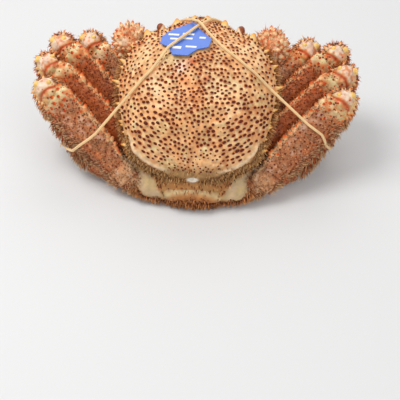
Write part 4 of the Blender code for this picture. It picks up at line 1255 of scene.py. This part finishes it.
def claw_limbs(side):
    """The arm, the round wrist, the palm, and the fixed and the moving finger of a claw."""
    sign = SIDES[side]
    arm = Limb(CLAW_HIP, CLAW_ELBOW, CLAW_FACING, CLAW_ARM_SECTIONS, (0.08, 0.1), sign)
    carpus = Limb(CLAW_CARPUS_FOOT, CLAW_WRIST, CLAW_FACING, CLAW_CARPUS_SECTIONS, (0.3, 0.25), sign)
    palm = Limb(CLAW_PALM_FOOT, CLAW_KNUCKLE, CLAW_FACING, CLAW_PALM_SECTIONS, (0.12, 0.08), sign)
    up = palm.wide if palm.wide[2] > 0 else -palm.wide
    low, high = up * FIXED_FINGER_OFFSET, up * MOVING_FINGER_OFFSET
    fixed = Limb(
        palm.end + low + palm.along * FIXED_FINGER_ROOT, CLAW_TIP + low * 0.2,
        CLAW_FACING, FIXED_FINGER_SECTIONS, (0.04, 0.05), sign,
    )
    moving = Limb(
        palm.end + high + palm.along * MOVING_FINGER_ROOT, CLAW_TIP + high * 0.55,
        CLAW_FACING, MOVING_FINGER_SECTIONS, (0.08, 0.05), sign,
    )
    return arm, carpus, palm, fixed, moving


def claw_tint(t, angle, places):
    return mottled(places, CLAW_MOTTLE)


def finger_tint(t, angle, places):
    return mix(mottled(places, FINGER_MOTTLE), FINGER_DARK, ramp(t, 0.3, 0.5))


def make_claw(side, coat, cells):
    """One claw, with its thorns, and its bristles added to the claws' coat."""
    draw = np.random.default_rng(40 + SIDES[side])
    arm, carpus, palm, fixed, moving = claw_limbs(side)
    build = Build(f"crab_claw_{side}")
    for limb, tint, rough in (
        (arm, claw_tint, 0.35), (carpus, claw_tint, 0.5), (palm, claw_tint, 0.4),
        (fixed, finger_tint, 0.15), (moving, finger_tint, 0.15),
    ):
        add_limb(build, limb, tint, 48, 44, rough)
    for limb, spacing, height, radius, span in (
        (carpus, 3.4, 3.6, 1.7, (0.03, 0.97)), (palm, 3.2, 2.6, 1.4, (0.03, 0.97)),
        (arm, 2.9, 1.8, 1.1, (0.3, 0.95)), (moving, 2.6, 1.2, 0.8, (0.02, 0.3)),
    ):
        add_limb_studs(
            build, limb, spacing, height, radius, draw, CLAW_TINTS, 0.25, span, profile=THORN_PROFILE,
        )
    nodes = [f"claw_{side}_{part}" for part in ("arm", "carpus", "palm", "finger")]
    settle(build.object([STUD_LOOK, STUD_LOOK]), "claw", *nodes)
    for limb, fur in (
        (arm, Fur(1.0, 4.0, tints=CLAW_HAIR)), (carpus, Fur(0.25, 4.4, lean=0.5, lift=1.0, tints=CLAW_HAIR)),
        (carpus, Fur(0.05, 7.0, 0.4, lean=0.3, lift=1.0)), (palm, Fur(0.5, 3.2, lift=0.8, tints=CLAW_HAIR)),
        (moving, Fur(0.5, 2.2, tints=CLAW_HAIR, span=(0.02, 0.35))),
    ):
        add_limb_fur(coat, limb, next(cells), fur, draw)


def make_claws():
    coat = Build("crab_bristles_claws")
    cells = strips(10)
    for side in SIDES:
        make_claw(side, coat, cells)
    finish_coat(coat, "claw")


# The face and the underside.

EYE_MOTTLE = ((226, 178, 128), [((242, 222, 190), 2.0, 15, 0, 1, 1)])
PLATE_MOTTLE = ((230, 172, 118), [((206, 116, 62), 3, 45, 0.35, 0.75, 0.8)])
BELLY_MOTTLE = (BELLY, [((214, 150, 98), 9, 16, 0, 1, 0.6), (CREAM, 5, 17, 0.55, 0.8, 0.6)])
REAR_MOTTLE = (REAR_TAN, [((196, 120, 62), 4, 28, 0, 1, 0.6)])
PANEL_MOTTLE = ((196, 168, 112), [((208, 176, 144), 4, 35, 0, 1, 1)])
RIDGE_MOTTLE = ((164, 98, 52), [((196, 128, 70), 5, 19, 0, 1, 1)])
BARE_MOTTLE = ((190, 152, 98), [((176, 128, 78), 4, 37, 0, 1, 1)])
ARCH_MOTTLE = ((212, 190, 140), [((192, 160, 114), 3, 36, 0, 1, 1)])
FACE_ORANGE = (220, 130, 76)
PLATE_SEAM = 0.58
THORAX_PLATES = 8
FLAP_PLATES = 6
FEELER_RING_DEPTH = 0.15
FEELER_RING_TURNS = 120
# The crescent on the tail: where its middle lies ahead of the body's, and how it curves back.
ARCH_AHEAD = -66.4
ARCH_CURVE = 0.009


def eye_tint(t, angle, places):
    cornea = ramp(t - 0.25 * np.cos(angle), 0.6, 0.68)
    return mix(mottled(places, EYE_MOTTLE), EYE_DARK, cornea)


def plate_tint(t, angle, places):
    return mix(mottled(places, PLATE_MOTTLE), DEEP_BROWN, bell(t, PLATE_SEAM, 0.03) * 0.5)


def belly_tint(t, angle, places):
    return mottled(places, BELLY_MOTTLE)


def rear_panel(places):
    """The bare pale plates on both sides of the tail, 0 to 1."""
    side, ahead, above = to_body(places).T
    across = (np.abs(side) - 36 - 0.67 * (ahead + 62.5)) / 8.6
    return ramp(1.15 - across**2, 0, 0.4) * ramp(above, -25, -21) * ramp(ahead, -72.4, -70)


def thorax_tint(t, angle, places):
    """Pale below, with painted shade in deep brown up the sides under the shell, and pale panels in the tan
    rear.
    """
    colour = belly_tint(t, angle, places)
    ahead = to_body(places)[:, 1]
    # painted shade: deep brown up the sides, where they rise under the shell
    colour = mix(colour, DEEP_BROWN, ramp(places[:, 2] - 8, 0, 25) * ramp(ahead, 50, 35) * 0.75)
    colour = mix(colour, FACE_ORANGE, ramp(ahead, 40, 55) * 0.5)
    rear = mix(mottled(places, REAR_MOTTLE), mottled(places, PANEL_MOTTLE), rear_panel(places))
    return mix(colour, rear, ramp(0.2 - t, 0, 0.04))


def past_arch(side, ahead):
    """How far ahead of the crescent's middle line a place lies."""
    return ahead - ARCH_AHEAD + ARCH_CURVE * side**2


def arch(places, half=2.0):
    """The bare pale crescent on the tail's first segment, 0 to 1."""
    side, ahead, above = to_body(places).T
    band = bell(past_arch(side, ahead), 0, half) ** 0.5
    return band * ramp(above, -26, -22) * ramp(27 - np.abs(side), 0, 2)


def bare_middle(places):
    """The smooth tan field between the shell's rear edge and the crescent, 0 to 1."""
    side, ahead, _ = to_body(places).T
    return ramp(past_arch(side, ahead), 0, 1.5) * ramp(28 - np.abs(side), 0, 3)


def arch_tint(t, angle, places):
    """The rear segments: a pale arch between brown ridges."""
    colour = mix(mottled(places, RIDGE_MOTTLE), mottled(places, BARE_MOTTLE), bare_middle(places))
    return mix(colour, mottled(places, ARCH_MOTTLE), arch(places))


def thorax_seams(t, angle, places):
    below = ramp(-np.sin(angle), 0.1, 0.6)
    return -0.7 * below * bell((t * THORAX_PLATES) % 1, 0.5, 0.06)


def flap_seams(t, angle, places):
    return -0.5 * bell((t * FLAP_PLATES) % 1, 0.5, 0.08)


def plate_seam(t, angle, places):
    return -0.9 * bell(t, PLATE_SEAM, 0.03)


def feeler_rings(t, angle, places):
    return FEELER_RING_DEPTH * np.sin(t * FEELER_RING_TURNS)


# Small mouthparts and inner feelers, which the solids leave out.
PALP = ((9.5, 62, -21), (3.0, 53, -25.5))
PALP_SECTIONS = [(0, 2.0, 1.8), (0.5, 2.3, 1.9), (1, 1.2, 1.0)]
EXOPOD = ((15.5, 36, -35), (15.5, 61, -21))
EXOPOD_SECTIONS = [(0, 2.0, 1.8), (0.6, 2.0, 1.7), (1, 1.2, 1.0)]
ANTENNULE = ((5.0, 62, -15), (6.5, 74, -12))
ANTENNULE_SECTIONS = [(0, 1.8, 1.6), (0.5, 1.3, 1.2), (0.6, 0.8, 0.8), (1, 0.4, 0.4)]


def mouth_plate(sign):
    return body_limb(MAXILLIPED, (0, 0.4, 1), MAXILLIPED_SECTIONS, (0.1, 0.1), sign)


def make_face(side):
    """The stalked eye, the feeler and the broad mouth plate of one side."""
    sign = SIDES[side]
    up = (0, 0, 1)
    for name, limb, tint, rings, sides, rough, shape, look, slot in (
        ("eye", body_limb(EYE_STALK, up, EYE_SECTIONS, (0.1, 0.3), sign),
         eye_tint, 44, 36, 0.05, None, EYE_LOOK, "eye"),
        ("antenna", body_limb(ANTENNA, up, ANTENNA_SECTIONS, (0.05, 0.05), sign),
         lower_tint, 80, 16, 0.1, feeler_rings, LEG_LOOK, "leg"),
        ("palp", body_limb(PALP, up, PALP_SECTIONS, (0.2, 0.3), sign),
         belly_tint, 30, 20, 0.1, None, BELLY_LOOK, "underside"),
        ("exopod", body_limb(EXOPOD, (0, 0.4, 1), EXOPOD_SECTIONS, (0.1, 0.2), sign),
         belly_tint, 40, 20, 0.1, None, BELLY_LOOK, "underside"),
        ("antennule", body_limb(ANTENNULE, up, ANTENNULE_SECTIONS, (0.1, 0.2), sign),
         lower_tint, 50, 16, 0.05, feeler_rings, LEG_LOOK, "leg"),
        ("maxilliped", mouth_plate(sign), plate_tint, 48, 36, 0.4, plate_seam, BELLY_LOOK, "underside"),
    ):
        build = Build(f"crab_{name}_{side}")
        add_limb(build, limb, tint, rings, sides, rough, shape=shape)
        nodes = [f"{name}_{side}"] if f"{name}_{side}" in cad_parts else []
        settle(build.object([look]), slot, *nodes)


def make_underside():
    """The body under the shell, and the tail; returns what bristles grow on."""
    up = (0, 0, 1)
    first, last = THORAX_RINGS[0][0], THORAX_RINGS[-1][0]
    sections = [
        ((ahead - first) / (last - first), half, (top - bottom) / 2, (top + bottom) / 2)
        for ahead, half, top, bottom in THORAX_RINGS
    ]
    thorax = body_limb(((0, first, 0), (0, last, 0)), up, sections, (0.02, 0.02))
    build = Build("crab_thorax")
    add_limb(build, thorax, thorax_tint, 150, 96, 0.3, shape=thorax_seams)
    settle(build.object([BELLY_LOOK]), "underside", "thorax")
    upper = body_limb(UPPER_SEGMENT, up, UPPER_SEGMENT_SECTIONS, (0.12, 0.12))
    lower = body_limb(LOWER_SEGMENT, up, LOWER_SEGMENT_SECTIONS, (0.12, 0.12))
    flap = body_limb(TAIL_FLAP, up, TAIL_FLAP_SECTIONS, (0.03, 0.1))
    build = Build("crab_abdomen")
    add_limb(build, upper, arch_tint, 64, 48, 0.25)
    add_limb(build, lower, arch_tint, 64, 48, 0.25)
    add_limb(build, flap, belly_tint, 96, 36, 0.15, shape=flap_seams)
    settle(build.object([BELLY_LOOK]), "underside", "abdomen")
    return thorax, upper, lower, flap


# The body's coat. A pair of hair colours is the root's and the tip's.

# The skirt's density, length and width.
SKIRT_GROWTH = (0.82, 4.6, 0.78)
SKIRT_HAIR = ((84, 32, 14), (240, 164, 98))
SKIRT_DROOP = (0, -0.1, -0.3)
FRINGE_COUNT = 4200
FRINGE_DEPTH = 6.0
FRINGE_LENGTHS = (3.2, 7.2)
FRINGE_WIDTHS = (0.45, 0.75)
# The fringe's roots and its tips, each from a pale bristle's colour to a dark one's.
FRINGE_ROOTS = ((166, 108, 54), (106, 50, 24))
FRINGE_TIPS = ((250, 212, 150), (206, 136, 74))
CHEEK_COUNT = 2600
CHEEK_TURN = 0.45
CHEEK_LENGTHS = (1.6, 3.4)
CHEEK_WIDTHS = (0.3, 0.5)
CHEEK_HAIR = ((150, 84, 44), (240, 190, 136))
HIND_COUNT = 2200
HIND_TURNS = (0.6, 1.4)
HIND_REACH = (0.86, 1.0)
HIND_MIDDLE_SHARE = 0.1
HIND_LENGTHS = (1.8, 4.4)
HIND_WIDTHS = (0.45, 0.8)
HIND_HAIR = ((112, 62, 28), (244, 196, 130))
KNOB_HAIRS = 4
KNOB_HAIR_LENGTHS = (0.8, 1.5)
KNOB_HAIR_WIDTHS = (0.14, 0.22)
KNOB_HAIR = ((160, 92, 50), (236, 196, 146))
# The shell's part of the body's plane that the knobs' bristles are mapped from.
KNOB_MAP_START = (-66, -64)
KNOB_MAP_SPAN = (132, 142)


def make_body_coat(knobs, thorax, upper, lower, flap):
    """The skirt at the rear, the fringe under the shell's rim and the short bristles on the shell."""
    draw = np.random.default_rng(31)
    coat = Build("crab_bristles_rear")
    cells = strips(8)

    def plate_edge(t, angle):
        return ramp(np.abs(np.cos(angle)), 0.75, 0.95) + ramp(t, 0.9, 1)

    def rear_share(t, angle):
        places = thorax.points(t, angle)
        middle = ramp(26 - np.abs(to_body(places)[:, 0]), 0, 4)
        edge = np.where(t < 0.07, 0.9, np.where(t < 0.14, 0.5, 0.04))
        return edge * (1 - rear_panel(places)) * (1 - 0.75 * middle)

    def skirt_share(limb):
        def share(t, angle):
            places = limb.points(t, angle)
            return (1 - np.clip(arch(places, 4.0) * 1.6, 0, 1)) * (1 - 0.75 * bare_middle(places))

        return share

    rear_fur = Fur(*SKIRT_GROWTH, -0.7, 1.2, SKIRT_DROOP, SKIRT_HAIR, span=(0.0, 0.5), share=rear_share)
    furs = [(thorax, rear_fur)]
    for limb in (upper, lower):
        furs.append((limb, Fur(*SKIRT_GROWTH, 0.0, 1.2, SKIRT_DROOP, SKIRT_HAIR, share=skirt_share(limb))))
    furs.append((flap, Fur(0.3, 1.6, lean=-0.6)))
    furs.append((thorax, Fur(0.76, 3.0, 0.44, 0.7, 0.8, tints=SKIRT_HAIR, span=(0.84, 1.0))))
    for side in SIDES.values():
        furs.append((mouth_plate(side), Fur(1.2, 2.4, 0.36, tints=SKIRT_HAIR, share=plate_edge)))
    for limb, fur in furs:
        add_limb_fur(coat, limb, next(cells), fur, draw)
    finish_coat(coat, "underside")

    coat = Build("crab_bristles_shell")
    cells = strips(4)
    add_fringe(coat, next(cells), draw)
    add_cheek_hairs(coat, next(cells), draw)
    add_hind_hairs(coat, next(cells), draw)
    add_knob_hairs(coat, next(cells), knobs, draw)
    finish_coat(coat, "shell")


def add_fringe(coat, cell, draw):
    """Long dark bristles that stand out from under the shell's rim."""
    turn = draw.uniform(0, 2, FRINGE_COUNT)
    drop = draw.uniform(0, 1, FRINGE_COUNT) ** 1.3 * FRINGE_DEPTH
    rim = shell_outline(half_turn(turn)[0])
    inset = 1 - 0.012 * np.maximum(drop - 2, 0)
    body = shell_ring(turn, inset, rim_height(rim[:, 1]) - drop)
    out = unit(np.stack([body[:, 0], body[:, 1] - SHELL_CENTRE, np.zeros(FRINGE_COUNT)], -1))
    roots = body_place(body)
    keep = off_lane(roots, HAIR_LANE)
    ways = body_turn(out + np.array([0, -0.1, -0.05]) + draw.normal(0, 0.3, (FRINGE_COUNT, 3)))
    dark = draw.uniform(0, 1, FRINGE_COUNT)
    aft = ramp(-rim[:, 1], -60, -40)
    behind = ramp(-rim[:, 1], 24, 44)
    keep &= draw.uniform(0, 1, FRINGE_COUNT) > 0.45 * behind
    lengths = draw.uniform(*FRINGE_LENGTHS, FRINGE_COUNT) * (0.55 + 0.45 * aft) * (1 - 0.35 * behind)
    widths = draw.uniform(*FRINGE_WIDTHS, keep.sum())
    tints = [mix(*pair, dark)[keep] for pair in (FRINGE_ROOTS, FRINGE_TIPS)]
    spots = on_map(cell, turn / 2, drop / FRINGE_DEPTH)
    add_hairs(coat, roots[keep], ways[keep], lengths[keep], widths, tints, spots[keep], (0, 0, -0.2), draw)


def add_cheek_hairs(coat, cell, draw):
    """Bristles over the slope between the shell's front rim and the mouth."""
    turn, inward = draw.uniform(-CHEEK_TURN, CHEEK_TURN, CHEEK_COUNT), draw.uniform(0, 1, CHEEK_COUNT)
    s, drop = SHELL_UNDER_RINGS[-1]
    rim = shell_outline(half_turn(turn)[0])
    height = (rim_height(rim[:, 1]) + drop) * (1 - inward) + SHELL_BELLY * inward
    body = shell_ring(turn, s + (SHELL_BELLY_RING - s) * inward, height)
    roots = body_place(body)
    keep = off_lane(roots, HAIR_LANE)
    ways = unit(np.stack([body[:, 0] * 0.4, np.full(CHEEK_COUNT, 20.0), np.full(CHEEK_COUNT, -24.0)], -1))
    ways = body_turn(ways + draw.normal(0, 0.25, (CHEEK_COUNT, 3)))
    lengths, widths = draw.uniform(*CHEEK_LENGTHS, keep.sum()), draw.uniform(*CHEEK_WIDTHS, keep.sum())
    spots = on_map(cell, turn + 0.5, inward)
    add_hairs(coat, roots[keep], ways[keep], lengths, widths, CHEEK_HAIR, spots[keep], (0, 0, -0.2), draw)


def add_hind_hairs(coat, cell, draw):
    """Short bristles over the shell's rear edge."""
    turn, s = draw.uniform(*HIND_TURNS, HIND_COUNT), draw.uniform(*HIND_REACH, HIND_COUNT)
    roots, ways, body = shell_surface(turn, s)
    beyond = (s > 0.945) & (body[:, 1] < -26)
    middle = (body[:, 1] < -48) & (draw.uniform(0, 1, HIND_COUNT) < HIND_MIDDLE_SHARE)
    chip = np.hypot(body[:, 0] / 6, (body[:, 1] - CHIP_AHEAD) / 2.2) < 1
    keep = (beyond | middle) & ~chip & off_lane(roots, HAIR_LANE)
    count = keep.sum()
    ways = ways[keep] * 0.7 + body_turn((0, -0.8, -0.2)) + draw.normal(0, 0.2, (count, 3))
    lengths, widths = draw.uniform(*HIND_LENGTHS, count), draw.uniform(*HIND_WIDTHS, count)
    spots = on_map(cell, ramp(turn, *HIND_TURNS), ramp(s, *HIND_REACH))[keep]
    add_hairs(coat, roots[keep], ways, lengths, widths, HIND_HAIR, spots, (0, 0, -0.1), draw)


def add_knob_hairs(coat, cell, knobs, draw):
    """A few short bristles that lean ahead round each of the shell's knobs."""
    place, ways, body, size = knobs
    index = np.repeat(np.arange(len(place)), KNOB_HAIRS)
    first, second = frame_beside(ways)
    turn = draw.uniform(0, 2 * np.pi, len(index))
    ring = first[index] * np.cos(turn)[:, None] + second[index] * np.sin(turn)[:, None]
    roots = place[index] + ring * size[index][:, None]
    keep = off_lane(roots, HAIR_LANE)
    ways = ways[index] * 0.8 + ring * 0.5 + body_turn((0, 0.4, 0))
    spots = on_map(cell, *((body[index, :2] - KNOB_MAP_START) / KNOB_MAP_SPAN).T)
    lengths = draw.uniform(*KNOB_HAIR_LENGTHS, keep.sum())
    widths = draw.uniform(*KNOB_HAIR_WIDTHS, keep.sum())
    add_hairs(coat, roots[keep], ways[keep], lengths, widths, KNOB_HAIR, spots[keep], (0, 0, 0), draw)


# What it wears.

TAG_BLUE = (84, 124, 216)
TAG_WHITE = (240, 244, 250)
BAND_COLOUR = (250, 208, 152)
TAG_EDGE = 0.25
BAR_EDGE = 0.02
BAR_SINK = 0.05
BAR_RISE = 0.06


def tag_height(x, y, lift):
    height, slope_aside, slope_ahead = TAG_PLANE
    bend = TAG_NECK_SLOPE * np.maximum(0, y - TAG_NECK_START)
    return height + slope_aside * x + slope_ahead * y - bend + lift


def slab(name, outline, low, high, material, bevel):
    """A thin plate with rounded edges that follows the tag's slope."""
    form = bmesh.new()
    rings = [[form.verts.new((x, y, lift)) for x, y in outline] for lift in (low, high)]
    form.faces.new(rings[0])
    form.faces.new(rings[1])
    for k in range(len(outline)):
        form.faces.new((rings[0][k - 1], rings[0][k], rings[1][k], rings[1][k - 1]))
    everything = form.verts[:] + form.edges[:] + form.faces[:]
    bmesh.ops.bisect_plane(form, geom=everything, plane_co=(0, TAG_NECK_START, 0), plane_no=(0, 1, 0))
    bmesh.ops.recalc_face_normals(form, faces=form.faces)
    for vert in form.verts:
        x, y, lift = vert.co
        vert.co = settled((x, y, tag_height(x, y, lift)))
    mesh = bpy.data.meshes.new(name)
    form.to_mesh(mesh)
    form.free()
    mesh.materials.append(material)
    obj = new_object(name, mesh)
    edge = obj.modifiers.new("edge", "BEVEL")
    edge.width = bevel * MM
    edge.segments = 2
    edge.limit_method = "ANGLE"
    return obj


def make_tag():
    blue = plain_material("tag_plastic", TAG_BLUE, 0.3, coat=0.3)
    white = plain_material("tag_print", TAG_WHITE, 0.4)
    settle(slab("crab_tag", TAG_OUTLINE, 0, TAG_THICKNESS, blue, TAG_EDGE), "tag", "tag")
    c, s = math.cos(TAG_BAR_TURN), math.sin(TAG_BAR_TURN)
    low, high = TAG_THICKNESS - BAR_SINK, TAG_THICKNESS + BAR_RISE
    for k, (x, y, long, wide) in enumerate(TAG_BARS):
        corners = []
        for dx, dy in ((-1, -1), (1, -1), (1, 1), (-1, 1)):
            across, ahead = dx * long / 2, dy * wide / 2
            corners.append((x + across * c - ahead * s, y + across * s + ahead * c))
        settle(slab(f"tag_bar_{k}", corners, low, high, white, BAR_EDGE), "tag")


def dress_band():
    rubber = plain_material("band_rubber", BAND_COLOUR, 0.5, bump=0.1)
    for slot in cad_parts["rubber_band"].material_slots:
        slot.material = rubber


# The stage.

FLOOR_SIZE = 6
FLOOR_LOOK = {"Base Color": (0.76, 0.76, 0.76, 1), "Roughness": 0.6}
WORLD_LOOK = {"Color": (1, 1, 1, 1), "Strength": 0.5}
LOOK_AT = (0, 0, 0.05)
# Lamps: (name, place, size, power), in metres and watts.
LAMPS = [
    ("key", (-0.45, -0.05, 0.9), 0.5, 5.5), ("fill", (0.6, -0.5, 0.7), 0.8, 2.2),
    ("back", (0.1, 0.8, 0.7), 0.8, 2.2),
]
CAMERA_PLACE = (33.29, -479.38, 472.48)
CAMERA_DOWN = math.radians(47)
CAMERA_ASIDE = math.radians(3.6)
CAMERA_LENS = 72
CAMERA_SENSOR = 36
CAMERA_NEAR = 0.01


def make_stage():
    bpy.ops.mesh.primitive_plane_add(size=FLOOR_SIZE, location=(0, 0, 0))
    floor = bpy.context.object
    floor.name = "floor"
    material, nodes, _ = new_material("floor_paper")
    with_inputs(nodes["Principled BSDF"], FLOOR_LOOK)
    floor.data.materials.append(material)
    world = bpy.context.scene.world or bpy.data.worlds.new("studio")
    bpy.context.scene.world = world
    world.use_nodes = True
    with_inputs(world.node_tree.nodes["Background"], WORLD_LOOK)
    for name, place, size, power in LAMPS:
        lamp = bpy.data.lights.new(name, "AREA")
        lamp.size = size
        lamp.energy = power
        obj = new_object(name, lamp)
        obj.location = place
        obj.rotation_euler = (Vector(LOOK_AT) - Vector(place)).to_track_quat("-Z", "Y").to_euler()


def make_camera():
    camera = bpy.data.cameras.new("camera")
    camera.lens = CAMERA_LENS
    camera.sensor_width = CAMERA_SENSOR
    camera.clip_start = CAMERA_NEAR
    obj = new_object("camera", camera)
    obj.location = settled(CAMERA_PLACE)
    level = math.cos(CAMERA_DOWN)
    way = Vector((-math.sin(CAMERA_ASIDE) * level, math.cos(CAMERA_ASIDE) * level, -math.sin(CAMERA_DOWN)))
    obj.rotation_euler = way.to_track_quat("-Z", "Y").to_euler()
    bpy.context.scene.camera = obj


bpy.context.scene.view_settings.view_transform = "Standard"
make_camera()
make_stage()
shell_knobs = make_shell()
for side_name in SIDES:
    for leg_number in HIPS:
        make_leg(leg_number, side_name)
    make_face(side_name)
make_claws()
make_body_coat(shell_knobs, *make_underside())
make_tag()
dress_band()
